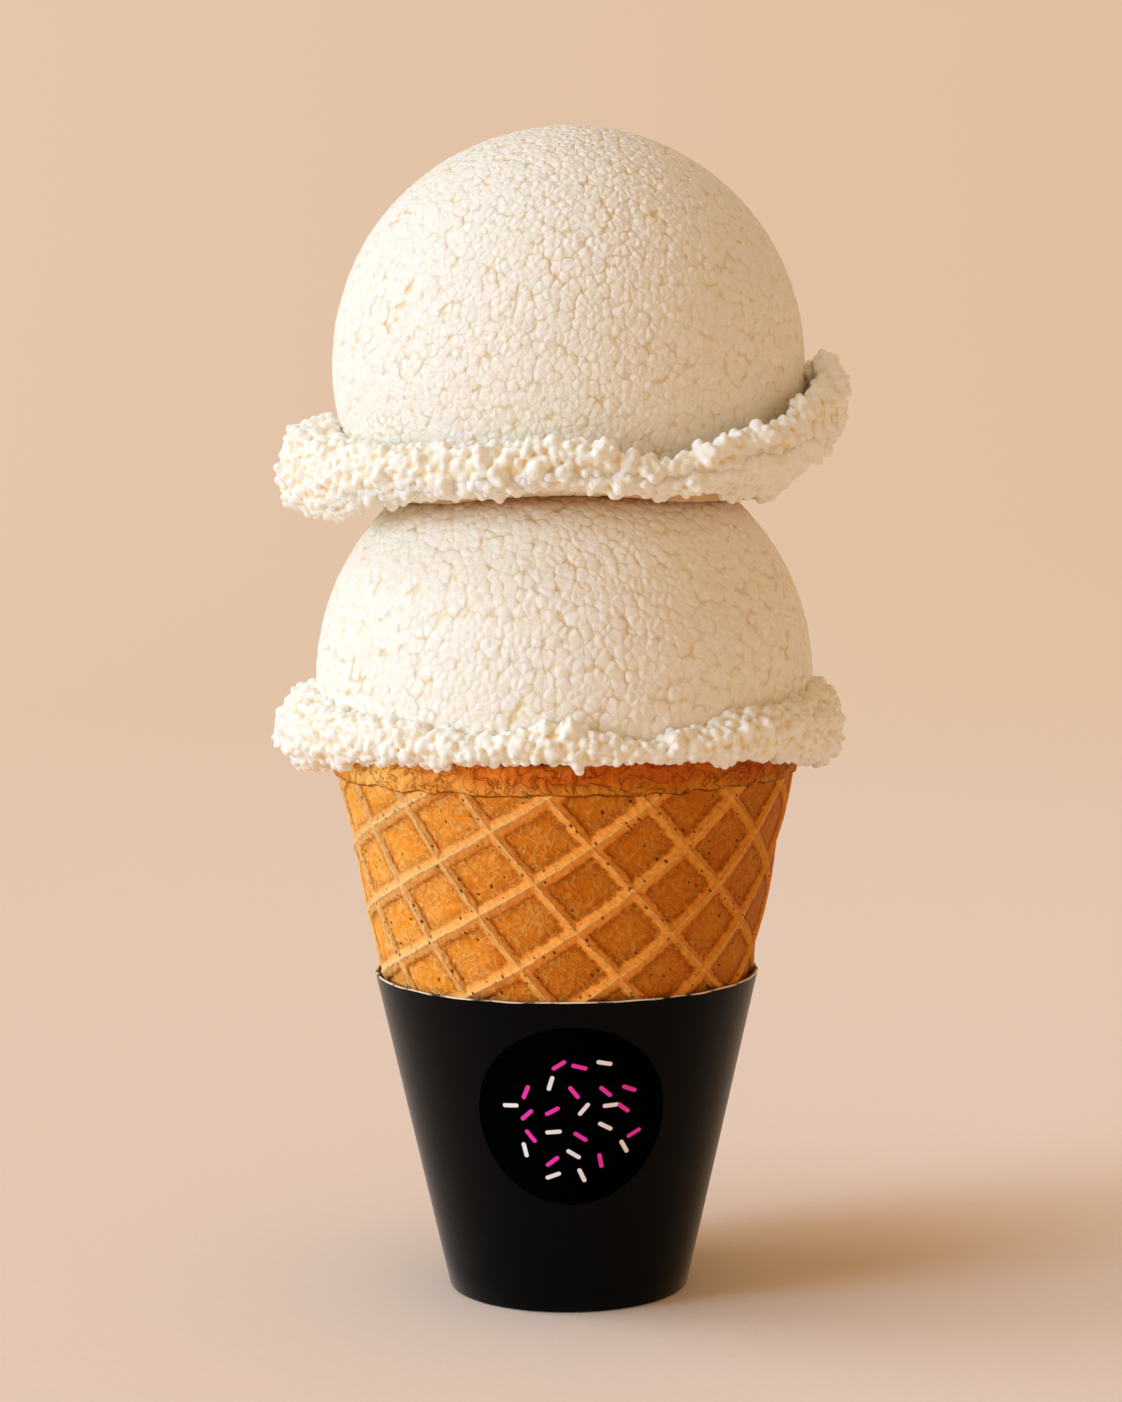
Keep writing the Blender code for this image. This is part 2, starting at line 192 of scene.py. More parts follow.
# %% Grow a wall from a disc
def grow_rings(start_radius, rings, vertices, closed):
    """Extrudes a disc's rim through rings of (radius, height). A closed wall gets a last face."""
    start_fresh()
    bpy.ops.mesh.primitive_circle_add(vertices=vertices, radius=start_radius, fill_type="NGON")
    piece = bpy.context.object
    bpy.ops.object.mode_set(mode="EDIT")
    bpy.ops.mesh.select_mode(type="EDGE")
    bpy.ops.mesh.select_all(action="DESELECT")
    bpy.ops.mesh.select_non_manifold()
    radius, height = start_radius, 0.0
    for next_radius, next_height in rings:
        bpy.ops.mesh.extrude_edges_move(
            TRANSFORM_OT_translate={"value": (0.0, 0.0, next_height - height)})
        grow = next_radius / radius
        bpy.ops.transform.resize(value=(grow, grow, 1.0))
        radius, height = next_radius, next_height
    if closed:
        bpy.ops.mesh.edge_face_add()
    bpy.ops.mesh.select_all(action="SELECT")
    bpy.ops.mesh.normals_make_consistent(inside=not closed)
    bpy.ops.object.mode_set(mode="OBJECT")
    return piece


# %% [markdown]
# ## Camera
# A camera is placed by its distance, its height and the angle it looks down. A long lens keeps
# the cone's sides calm, and the camera rolls by a fraction of a degree, as in a hand.

# %% Camera
CAMERA_DISTANCE = 397.7 * MM
CAMERA_HEIGHT = 113.0 * MM
CAMERA_SIDE = -0.49 * MM
LOOK_DOWN = math.radians(5.32)
CAMERA_ROLL = math.radians(0.41)
SENSOR_WIDTH = 36.0
FOCAL_LENGTH = 79.8

bpy.ops.object.camera_add()
camera = bpy.context.object
camera.data.sensor_width = SENSOR_WIDTH
camera.data.lens = FOCAL_LENGTH
camera.data.dof.use_dof = False
turn = Matrix.Rotation(math.pi / 2 - LOOK_DOWN, 4, "X") @ Matrix.Rotation(-CAMERA_ROLL, 4, "Z")
camera.matrix_world = Matrix.Translation((CAMERA_SIDE, -CAMERA_DISTANCE, CAMERA_HEIGHT)) @ turn
bpy.context.scene.camera = camera
print("camera at", [round(value / MM, 1) for value in camera.location], "mm")

# %% [markdown]
# ## Floor
# The cone stands on a seamless paper sweep, as in a small studio: a wide floor that curves up
# into a wall all round, so no edge shows from any side. Its wall would stop a low lamp's light,
# so the sweep casts no shadow.

# %% Seamless sweep
SWEEP_RADIUS = 2.4
SWEEP_BEND = 0.6
SWEEP_HEIGHT = 0.9
BEND_STEPS = 12

flat_radius = SWEEP_RADIUS - SWEEP_BEND
bend_angles = [math.pi / 2 * step / BEND_STEPS for step in range(1, BEND_STEPS + 1)]
sweep_rings = [(flat_radius + SWEEP_BEND * math.sin(angle), SWEEP_BEND * (1.0 - math.cos(angle)))
               for angle in bend_angles]
sweep = grow_rings(flat_radius, sweep_rings + [(SWEEP_RADIUS, SWEEP_HEIGHT)], 96, closed=False)
bpy.ops.object.shade_smooth()
sweep.name = "sweep"
sweep.visible_shadow = False
print("sweep made of", len(sweep.data.polygons), "faces")

# %% [markdown]
# The sweep is warm beige background paper, uncoated and so matte, with a grain of a millimetre.
# Near the cone it is lit by the lamps and takes the cone's shadow. Farther off it fades into an
# even glow, a little browner to the right, because a real studio lights its background apart.

# %% Background paper
PAPER_GRAIN = MM / 0.9
GLOW_FROM = 0.12
GLOW_FULL = 0.9
paper, tree, shader = new_material("beige_background_paper")
place = add_node(tree, "ShaderNodeTexCoord").outputs["Object"]
grain = add_node(tree, "ShaderNodeTexNoise", {"Vector": place, "Scale": 1.0 / PAPER_GRAIN, "Detail": 3.0})
tone = add_node(tree, "ShaderNodeMapRange", [grain, 0.3, 0.7, 0.97, 1.0])
paper_colour = add_node(tree, "ShaderNodeMix", {0: 1.0, 6: linear("#fbecdc"), 7: tone}, **TINT)
give_inputs(shader, {"Base Color": paper_colour, "Roughness": 0.9})
split = add_node(tree, "ShaderNodeSeparateXYZ", [place])
side = add_node(tree, "ShaderNodeMapRange", [split, -0.5, 0.5])
wall_colour = add_node(tree, "ShaderNodeMix", {0: side, 6: linear("#e5c7ac"), 7: linear("#e1be9f")},
                       **COLOUR)
glow = add_node(tree, "ShaderNodeEmission", [wall_colour, 1.0])
distance = add_node(tree, "ShaderNodeVectorMath", [place], operation="LENGTH")
far = add_node(tree, "ShaderNodeMapRange", [distance, GLOW_FROM, GLOW_FULL], **SOFT)
blend = add_node(tree, "ShaderNodeMixShader", [far, shader, glow])
give_inputs(tree.nodes["Material Output"], {"Surface": blend})
sweep.data.materials.append(paper)
print("background paper grain", round(PAPER_GRAIN / MM, 2), "mm")

# %% [markdown]
# ## Light
# A large window stands low on the left, and two weaker lamps fill from the left and from above.
# A wide sun lamp gives such soft shadows. The warm world stands for light that the beige room
# throws back, so the shaded side turns golden.

# %% Lamps and world
def add_sun(name, azimuth, height, softness, strength, colour):
    """A sun lamp that shines from an azimuth and a height, with its width on the sky, in degrees."""
    start_fresh()
    bpy.ops.object.light_add(type="SUN")
    sun = bpy.context.object
    sun.name = name
    across = math.cos(math.radians(height))
    source = Vector((across * math.cos(math.radians(azimuth)), across * math.sin(math.radians(azimuth)),
                     math.sin(math.radians(height))))
    sun.rotation_euler = (-source).to_track_quat("-Z", "Y").to_euler()
    sun.data.angle = math.radians(softness)
    sun.data.energy = strength
    sun.data.color = linear(colour)[:3]


add_sun("window_light", azimuth=205.0, height=12.0, softness=24.0, strength=2.2, colour="#c2dfff")
add_sun("side_light", azimuth=175.0, height=45.0, softness=30.0, strength=0.6, colour="#f3f5ff")
add_sun("top_light", azimuth=205.0, height=70.0, softness=30.0, strength=0.6, colour="#c0e6ff")

world = bpy.data.worlds.new("studio")
bpy.context.scene.world = world
world.use_nodes = True
give_inputs(world.node_tree.nodes["Background"], {"Color": linear("#b99369"), "Strength": 1.0})
bpy.context.scene.view_settings.view_transform = "Standard"

# %% [markdown]
# ## Ice cream: a skin of packed crumbs
# Scooped ice cream is torn and pressed together again, so its skin is made of flat crumbs about a
# millimetre across, packed like cobbles, with a pit where their corners meet. Thousands of them
# can't be sculpted by hand, but a Voronoi pattern packs its cells in the same way. A noise bends
# the cells, and each one gets its own level and tilt. The nodes work on a mesh and in a material
# alike, so shape and colour fall in the same places.

# %% Relief of packed crumbs
HALF = (0.5, 0.5, 0.5)
GROOVE_DEPTH = 0.06
CROWN_HEIGHT = 0.6
CRUMB_TILT = 0.9
CRUMB_STEP = 0.6
PIT_DEPTH = 0.6


def crumb_relief(tree, place, crumb, seed):
    """Nodes for packed crumbs of a size in metres. Returns the height in crumb sizes, the distance
    from a crumb's edge, how much of a pit there is, and a random colour for each crumb."""
    wobble = add_node(tree, "ShaderNodeTexNoise", {"Vector": place, "Scale": 0.9 / crumb, "Detail": 4.0})
    centred = add_node(tree, "ShaderNodeVectorMath", [wobble.outputs["Color"], HALF],
                       operation="SUBTRACT")
    push = add_node(tree, "ShaderNodeVectorMath", {0: centred, "Scale": 0.9 * crumb}, operation="SCALE")
    moved = add_node(tree, "ShaderNodeVectorMath", [place, push], operation="ADD")
    shifted = add_node(tree, "ShaderNodeVectorMath", [moved, (seed, 0.0, 0.0)], operation="ADD")
    packing = {"Vector": shifted, "Scale": 1.0 / crumb, "Randomness": 0.95}
    cells = add_node(tree, "ShaderNodeTexVoronoi", packing, feature="F1")
    edge = add_node(tree, "ShaderNodeTexVoronoi", packing, feature="DISTANCE_TO_EDGE")
    pit = add_node(tree, "ShaderNodeMapRange", [cells.outputs["Distance"], 0.62, 0.92], **SOFT)
    groove = add_node(tree, "ShaderNodeMapRange", [edge, 0.0, 0.08, -GROOVE_DEPTH, 0.0], **SOFT)
    crown = add_node(tree, "ShaderNodeMapRange", [edge, 0.0, 0.42, 0.0, CROWN_HEIGHT], **SOFT)
    cobble = add_node(tree, "ShaderNodeMath", [groove, crown], operation="ADD")
    own_lean = add_node(tree, "ShaderNodeVectorMath", [cells.outputs["Color"], HALF],
                        operation="SUBTRACT")
    from_middle = add_node(tree, "ShaderNodeVectorMath", [shifted, cells.outputs["Position"]],
                           operation="SUBTRACT")
    lean = add_node(tree, "ShaderNodeVectorMath", [own_lean, from_middle], operation="DOT_PRODUCT")
    tilted = add_node(tree, "ShaderNodeMath", [lean, CRUMB_TILT / crumb, cobble],
                      operation="MULTIPLY_ADD")
    own_level = add_node(tree, "ShaderNodeSeparateXYZ", [own_lean])
    raised = add_node(tree, "ShaderNodeMath", [own_level, CRUMB_STEP, tilted],
                      operation="MULTIPLY_ADD")
    height = add_node(tree, "ShaderNodeMath", [pit, -PIT_DEPTH, raised], operation="MULTIPLY_ADD")
    return height, edge, pit, cells.outputs["Color"]


# %% [markdown]
# A Geometry Nodes tree moves every point of a piece along its normal by that relief. It also
# keeps where each point was before, so that the material can draw the same crumbs.

# %% Press crumbs into a mesh
def press_crumbs(piece, crumb, depth, seed):
    """Displaces a piece by packed crumbs and keeps the unmoved places in the attribute rest_place."""
    tree, geometry = new_mesh_nodes("packed_crumbs")
    position = add_node(tree, "GeometryNodeInputPosition")
    normal = add_node(tree, "GeometryNodeInputNormal")
    kept = add_node(tree, "GeometryNodeStoreNamedAttribute",
                    {"Geometry": geometry, "Name": "rest_place", "Value": position},
                    data_type="FLOAT_VECTOR", domain="POINT")
    height, _, _, _ = crumb_relief(tree, position.outputs[0], crumb, seed)
    amount = add_node(tree, "ShaderNodeMath", [height, depth], operation="MULTIPLY")
    offset = add_node(tree, "ShaderNodeVectorMath", {0: normal, "Scale": amount}, operation="SCALE")
    moved = add_node(tree, "GeometryNodeSetPosition", {"Geometry": kept, "Offset": offset})
    apply_mesh_nodes(piece, tree, moved)


# %% [markdown]
# ## Cutting
# Where one piece sits on another it must not run into it, and what hides inside another piece is
# not wanted either. A boolean takes the volume of a cutter away. The cutters are round like their
# neighbours: a ball for a scoop, and a lying cylinder for the arched line where the scoops touch.

# %% Cut one piece with another
BALL_SUBDIVISIONS = 6
ARCH_VERTICES = 512
ARCH_LENGTH = 120.0 * MM


def cut_away(piece, cutter):
    """Takes the volume of a cutter out of a piece, and removes the cutter."""
    modifier = piece.modifiers.new("cut", "BOOLEAN")
    modifier.operation = "DIFFERENCE"
    modifier.solver = "MANIFOLD"
    modifier.object = cutter
    apply_modifier(piece, modifier)
    bpy.data.objects.remove(cutter)


def ball_cutter(centre, radius):
    start_fresh()
    bpy.ops.mesh.primitive_ico_sphere_add(subdivisions=BALL_SUBDIVISIONS, radius=radius,
                                          location=centre)
    bpy.ops.object.transform_apply(location=True)
    return bpy.context.object


def arch_cutter(top, radius):
    """A lying cylinder, seen as an arch from the front, whose top is at a height."""
    start_fresh()
    bpy.ops.mesh.primitive_cylinder_add(vertices=ARCH_VERTICES, radius=radius, depth=ARCH_LENGTH,
                                        location=(0.0, 0.0, top - radius),
                                        rotation=(math.pi / 2, 0.0, 0.0))
    bpy.ops.object.transform_apply(location=True, rotation=True)
    return bpy.context.object


# %% [markdown]
# ## Ice cream: the domes
# A scoop is nearly a ball, and it sways a little because it is only frozen cream. A UV sphere
# would crowd its points at the poles. An icosahedron keeps its triangles even when they are
# divided and blown up into a sphere, so the crumbs come out alike everywhere. The part under the
# collar is cut off flat.

# %% Make a dome
DOME_SWAY = 0.006
SWAY_FINENESS = 1.7


def make_dome(centre, radius, cut_height, seed, cuts):
    """A ball of even triangles, divided by each number of cuts in turn, and cut off at a height."""
    start_fresh()
    bpy.ops.mesh.primitive_ico_sphere_add(subdivisions=1, radius=radius)
    dome = bpy.context.object
    bpy.ops.object.mode_set(mode="EDIT")
    bpy.ops.mesh.select_all(action="SELECT")
    for number in cuts:
        bpy.ops.mesh.subdivide(number_cuts=number)
        bpy.ops.transform.tosphere(value=1.0)
    bpy.ops.object.mode_set(mode="OBJECT")
    grow = radius / dome.data.vertices[0].co.length
    bpy.ops.object.mode_set(mode="EDIT")
    bpy.ops.transform.resize(value=(grow, grow, grow))
    bpy.ops.mesh.bisect(plane_co=(0.0, 0.0, cut_height - centre.z), plane_no=(0.0, 0.0, 1.0),
                        clear_inner=True, use_fill=True, threshold=0.01 * MM)
    bpy.ops.object.mode_set(mode="OBJECT")
    for vertex in dome.data.vertices:
        sway = noise.noise(vertex.co.normalized() * SWAY_FINENESS + Vector((seed, 0.0, 0.0)))
        vertex.co = centre + vertex.co * (1.0 + DOME_SWAY * sway)
    bpy.ops.object.shade_smooth()
    return dome


# %% [markdown]
# The upper scoop is a little smaller and its crumbs are finer. It stops a third of a millimetre
# above the lower scoop's ball, and an arch cuts it along the line where the two touch, which
# rises in the middle because the lower scoop bulges towards the eye.

# %% The two domes
SEAT_GAP = 0.35 * MM
CUP_CLEARANCE = 0.3 * MM
UPPER_CUT = UPPER_CENTRE.z - 16.9 * MM
LOWER_CUT = CUP_TOP + CUP_CLEARANCE
SEAM_TOP = UPPER_CENTRE.z - 15.9 * MM
SEAM_ARCH = 96.0 * MM
UPPER_CRUMB = 1.05 * MM
LOWER_CRUMB = 1.25 * MM
UPPER_SEED = 3.0
LOWER_SEED = 11.0
upper_dome = make_dome(UPPER_CENTRE, UPPER_RADIUS, UPPER_CUT, UPPER_SEED, (4, 21))
lower_dome = make_dome(LOWER_CENTRE, LOWER_RADIUS, LOWER_CUT, LOWER_SEED, (4, 22))
cut_away(upper_dome, ball_cutter(LOWER_CENTRE, LOWER_RADIUS + SEAT_GAP))
cut_away(upper_dome, arch_cutter(SEAM_TOP, SEAM_ARCH))
press_crumbs(upper_dome, UPPER_CRUMB, 0.11 * MM, UPPER_SEED)
press_crumbs(lower_dome, LOWER_CRUMB, 0.13 * MM, LOWER_SEED)
print("dome points:", len(upper_dome.data.vertices), "upper,", len(lower_dome.data.vertices), "lower")

# %% [markdown]
# ## Ice cream: the collars
# The disher pushes the ice cream out round its rim, where it tears into a ragged ring. The ring
# is thick at one side and thin at another, so one section spun round would be too even. Each
# table gives, for some azimuths in degrees, how far out and how high the middle of the ring's
# oval section is, and half its width and height, all in millimetres. Front is 270 degrees.

# %% Sections of the collars
LOWER_COLLAR = ((0, 31.3, -5.6, 5.6, 6.8), (45, 31.8, -5.5, 4.2, 4.6), (90, 31.8, -5.7, 4.0, 4.2),
                (135, 31.8, -5.9, 4.6, 4.8), (180, 32.0, -5.9, 6.2, 6.6), (225, 32.0, -5.3, 4.4, 4.4),
                (250, 31.8, -5.9, 3.5, 3.3), (270, 31.9, -5.0, 3.7, 3.9), (288, 31.8, -6.3, 3.1, 2.8),
                (315, 32.2, -4.9, 4.4, 4.6))
UPPER_COLLAR = ((0, 32.9, -2.8, 3.5, 5.0), (45, 33.4, -5.4, 3.0, 4.6), (90, 32.6, -8.4, 3.4, 4.4),
                (135, 32.2, -11.1, 4.0, 4.8), (180, 32.2, -12.6, 6.0, 7.4), (206, 31.2, -13.8, 5.2, 6.2),
                (228, 32.4, -12.9, 4.2, 4.6), (248, 32.3, -12.4, 3.6, 4.2), (270, 32.2, -11.7, 3.3, 4.0),
                (290, 32.2, -13.1, 2.9, 3.1), (315, 33.0, -9.9, 2.9, 3.8), (338, 33.3, -6.4, 3.2, 4.6))


def smooth_step(low, high, value):
    share = min(max((value - low) / (high - low), 0.0), 1.0)
    return share * share * (3.0 - 2.0 * share)


def section_at(table, azimuth):
    """The row for an azimuth in degrees, eased between the two nearest rows, in metres."""
    rows = list(table) + [(table[0][0] + 360, *table[0][1:])]
    for before, after in zip(rows, rows[1:]):
        if before[0] <= azimuth <= after[0]:
            share = smooth_step(before[0], after[0], azimuth)
            return [(one + (two - one) * share) * MM for one, two in zip(before[1:], after[1:])]


print("collars drawn through", len(LOWER_COLLAR), "and", len(UPPER_COLLAR), "sections")

# %% [markdown]
# The ring starts as a torus. Each of its points knows its azimuth and its place in the round
# section, and moves to the same place in the section that the table gives. The crumbs will make
# the ring thicker, so its core is drawn thinner by their coat. Under the upper collar a flat
# tongue of the same kind runs in to where the scoop rests on the lower one, so that its underside
# is torn too.

# %% A ring with a changing section
TORUS_RADIUS = 3.0
RING_AROUND = 256
RING_ACROSS = 56
CRUMB_COAT = 1.8 * MM
THINNEST_CORE = 0.3
TONGUE_HALF = 0.9 * MM
UPPER_FEET = ((0, 25.3, -16.2), (90, 25.3, -16.2), (180, 25.3, -16.2), (215, 25.4, -15.4),
              (245, 25.6, -14.8), (270, 26.0, -13.4), (300, 25.7, -14.8), (330, 25.3, -16.0))


def ring_from_sections(centre, section):
    """Makes a torus and moves its points. The section says where (azimuth, outer, upper) goes."""
    start_fresh()
    bpy.ops.mesh.primitive_torus_add(major_segments=RING_AROUND, minor_segments=RING_ACROSS,
                                     major_radius=TORUS_RADIUS, minor_radius=1.0)
    ring = bpy.context.object
    for vertex in ring.data.vertices:
        outward = Vector((vertex.co.x, vertex.co.y, 0.0))
        azimuth = math.degrees(math.atan2(outward.y, outward.x)) % 360.0
        reach, height = section(azimuth, outward.length - TORUS_RADIUS, vertex.co.z)
        vertex.co = centre + outward.normalized() * reach + Vector((0.0, 0.0, height))
    return ring


def collar_section(table):
    """The oval of the table, less the thickness that the crumbs add."""
    def section(azimuth, outer, upper):
        reach, height, half_width, half_height = section_at(table, azimuth)
        half_width = max(half_width - CRUMB_COAT, THINNEST_CORE * half_width)
        half_height = max(half_height - CRUMB_COAT, THINNEST_CORE * half_height)
        return reach + outer * half_width, height + upper * half_height
    return section


def underside_section(table, feet):
    """A flat tongue from the collar's lower edge in to the place where the scoop rests."""
    def section(azimuth, outer, upper):
        reach, height, half_width, half_height = section_at(table, azimuth)
        start = Vector((reach + 0.35 * half_width, height - 0.5 * half_height))
        foot = Vector(section_at(feet, azimuth))
        along = (start - foot) * 0.5
        away = Vector((-along.y, along.x)).normalized() * TONGUE_HALF
        return (start + foot) * 0.5 + along * outer + away * upper
    return section


upper_collar = ring_from_sections(UPPER_CENTRE, collar_section(UPPER_COLLAR))
underside = ring_from_sections(UPPER_CENTRE, underside_section(UPPER_COLLAR, UPPER_FEET))
lower_collar = ring_from_sections(LOWER_CENTRE, collar_section(LOWER_COLLAR))
print("three rings of", len(lower_collar.data.vertices), "points each")

# %% [markdown]
# Torn ice cream breaks into lumps, and the lumps into crumbs. Balls of random size are scattered
# over the ring at a least distance: lumps first, sunk into it, then crumbs on the lumps and the
# ring, and a few loose ones that stand out. Nodes do this in one go, where copying balls by hand
# would never look random. The balls themselves don't stay: the next step melts them together.

# %% Crumbs stuck on a ring
# a layer is the least distance, the smallest and largest radius, and the share that is sunk in
LUMPS = (2.6 * MM, 0.9 * MM, 1.7 * MM, 0.35)
CRUMBS = (1.05 * MM, 0.42 * MM, 0.72 * MM, 0.0)
LOOSE = (2.2 * MM, 0.5 * MM, 0.85 * MM, -0.3)
UNDER_LUMPS = (2.4 * MM, 0.9 * MM, 1.4 * MM, 0.35)
UNDER_CRUMBS = (1.0 * MM, 0.5 * MM, 0.75 * MM, 0.0)


def scatter_balls(tree, mesh, layer, seed):
    """Squashed balls of one layer on a surface. Returns real geometry."""
    distance, smallest, largest, sunk_share = layer
    points = add_node(tree, "GeometryNodeDistributePointsOnFaces",
                      {"Mesh": mesh, "Distance Min": distance, "Density Max": 4.0 / distance ** 2,
                       "Seed": seed}, distribute_method="POISSON")
    ball = add_node(tree, "GeometryNodeMeshIcoSphere", {"Radius": 1.0, "Subdivisions": 3})
    size = add_node(tree, "FunctionNodeRandomValue", {2: smallest, 3: largest, 8: seed + 1},
                    data_type="FLOAT")
    squash = add_node(tree, "FunctionNodeRandomValue",
                      {0: (0.85, 0.85, 0.85), 1: (1.15, 1.15, 1.15), 8: seed + 2},
                      data_type="FLOAT_VECTOR")
    scale = add_node(tree, "ShaderNodeVectorMath", {0: squash, "Scale": size}, operation="SCALE")
    turn = add_node(tree, "FunctionNodeRandomValue",
                    {0: (0.0, 0.0, 0.0), 1: (6.28, 6.28, 6.28), 8: seed + 3},
                    data_type="FLOAT_VECTOR")
    sunk = add_node(tree, "ShaderNodeVectorMath",
                    {0: points.outputs["Normal"], "Scale": -sunk_share * largest}, operation="SCALE")
    lowered = add_node(tree, "GeometryNodeSetPosition", {"Geometry": points, "Offset": sunk})
    balls = add_node(tree, "GeometryNodeInstanceOnPoints",
                     {"Points": lowered, "Instance": ball, "Rotation": turn, "Scale": scale})
    return add_node(tree, "GeometryNodeRealizeInstances", [balls]).outputs[0]


def add_crumbs(ring, seed, lumps, crumbs):
    """Sticks lumps on a ring, and crumbs and loose ones on the lumps and the ring."""
    tree, geometry = new_mesh_nodes("torn_crumbs")
    lumpy = tree.nodes.new("GeometryNodeJoinGeometry")
    everything = tree.nodes.new("GeometryNodeJoinGeometry")
    for part in (scatter_balls(tree, geometry, lumps, seed), geometry):
        tree.links.new(part, lumpy.inputs[0])
    for part in (scatter_balls(tree, lumpy, crumbs, seed + 10),
                 scatter_balls(tree, lumpy, LOOSE, seed + 20), lumpy.outputs[0]):
        tree.links.new(part, everything.inputs[0])
    apply_mesh_nodes(ring, tree, everything)
    print("crumbs on a ring make", len(ring.data.vertices), "points")


add_crumbs(upper_collar, 5, LUMPS, CRUMBS)
add_crumbs(underside, 6, UNDER_LUMPS, UNDER_CRUMBS)
add_crumbs(lower_collar, 8, LUMPS, CRUMBS)

# %% [markdown]
# The loose balls become one skin by a voxel remesh, which wraps everything in small squares, and
# one round of smoothing softens it as if it had begun to melt. The parts inside the scoops are
# then cut off, and the cup's rim gets room. The skin is thinned until it is light enough to share.

# %% Melt the crumbs into one skin
COLLAR_VOXEL = 0.2 * MM
UNDERSIDE_VOXEL = 0.24 * MM
HIDDEN_EDGE = 1.2 * MM
COLLAR_GAP = 0.5 * MM
RIM_GAP = 0.7 * MM
RIM_CUTTER = 8.0 * MM
CUP_TAPER = 0.207
CUP_AT_SLEEVE = 24.07 * MM
MOST_TRIANGLES = 196000


def melt_together(piece, voxel):
    """Wraps everything in one closed skin of small squares and softens it."""
    remesh = piece.modifiers.new("wrap", "REMESH")
    remesh.mode = "VOXEL"
    remesh.voxel_size = voxel
    apply_modifier(piece, remesh)
    soften = piece.modifiers.new("soften", "SMOOTH")
    soften.factor = 0.5
    soften.iterations = 1
    apply_modifier(piece, soften)


def rim_cutter():
    """The top of the cup's cone, a little wider and higher than the cup."""
    rim_radius = CUP_AT_SLEEVE + (CUP_TOP - SLEEVE_HEIGHT) * CUP_TAPER + RIM_GAP
    start_fresh()
    bpy.ops.mesh.primitive_cone_add(vertices=256, radius1=rim_radius - RIM_CUTTER * CUP_TAPER,
                                    radius2=rim_radius, depth=RIM_CUTTER,
                                    location=(0.0, 0.0, CUP_TOP + CUP_CLEARANCE - RIM_CUTTER / 2))
    bpy.ops.object.transform_apply(location=True)
    return bpy.context.object


def thin_out(piece, most):
    """Merges the flattest triangles of a piece until it has no more than a number of them."""
    piece.data.calc_loop_triangles()
    count = len(piece.data.loop_triangles)
    if count > most:
        fewer = piece.modifiers.new("fewer", "DECIMATE")
        fewer.ratio = most / count
        apply_modifier(piece, fewer)
    print("thinned from", count, "triangles")


for piece, voxel in ((upper_collar, COLLAR_VOXEL), (underside, UNDERSIDE_VOXEL)):
    melt_together(piece, voxel)
    cut_away(piece, ball_cutter(UPPER_CENTRE, UPPER_RADIUS - HIDDEN_EDGE))
    cut_away(piece, ball_cutter(LOWER_CENTRE, LOWER_RADIUS + COLLAR_GAP))
    thin_out(piece, MOST_TRIANGLES)
melt_together(lower_collar, COLLAR_VOXEL)
cut_away(lower_collar, ball_cutter(LOWER_CENTRE, LOWER_RADIUS - HIDDEN_EDGE))
cut_away(lower_collar, rim_cutter())
thin_out(lower_collar, MOST_TRIANGLES)

# %% [markdown]
# Between the crumbs the material paints shade in cream yellow. It has to know where that
# is, so each point keeps how far it lies below the level of its surroundings. Blurring all places
# gives that level, and the difference along the blurred normal is the depth, in millimetres.

# %% Measure the hollows
LEVEL_BLUR = 24
NORMAL_BLUR = 8


def mark_hollows(piece):
    """Keeps how far each point lies below its surroundings, in the attribute hollow."""
    tree, geometry = new_mesh_nodes("hollows")
    position = add_node(tree, "GeometryNodeInputPosition")
    normal = add_node(tree, "GeometryNodeInputNormal")
    level = add_node(tree, "GeometryNodeBlurAttribute", {"Value": position, "Iterations": LEVEL_BLUR},
                     data_type="FLOAT_VECTOR")
    level_normal = add_node(tree, "GeometryNodeBlurAttribute",
                            {"Value": normal, "Iterations": NORMAL_BLUR}, data_type="FLOAT_VECTOR")
    below = add_node(tree, "ShaderNodeVectorMath", [level, position], operation="SUBTRACT")
    depth = add_node(tree, "ShaderNodeVectorMath", [below, level_normal], operation="DOT_PRODUCT")
    in_mm = add_node(tree, "ShaderNodeMath", [depth, 1.0 / MM], operation="MULTIPLY")
    kept = add_node(tree, "GeometryNodeStoreNamedAttribute",
                    {"Geometry": geometry, "Name": "hollow", "Value": in_mm},
                    data_type="FLOAT", domain="POINT")
    apply_mesh_nodes(piece, tree, kept)


for piece in (upper_collar, underside, lower_collar):
    mark_hollows(piece)
    start_fresh(piece)
    bpy.ops.object.shade_smooth()
print("hollows marked on three skins")

# %% [markdown]
# ## Ice cream: the materials
# Vanilla ice cream is frozen cream with fine ice in it. Light goes a little way in and comes out
# again, so it needs subsurface scattering, red farthest, and that gives the eye its soft, milky
# look. Its surface is pressed or torn, with a dull shine from the melted film. On the domes each
# crumb has its own white with a painted highlight along its edges, the pits get painted shade in
# cream yellow, and painted shade turns the skin caramel at the seam between the scoops. The ice grains are
# about 0.25 mm.

# %% Pressed ice cream, for the domes
ICE_CREAM = {"Roughness": 0.5, "IOR": 1.36, "Subsurface Radius": (1.0, 0.78, 0.55)}
ICE_GRAIN = MM / 4.2
PATCH_SIZE = MM / 0.3


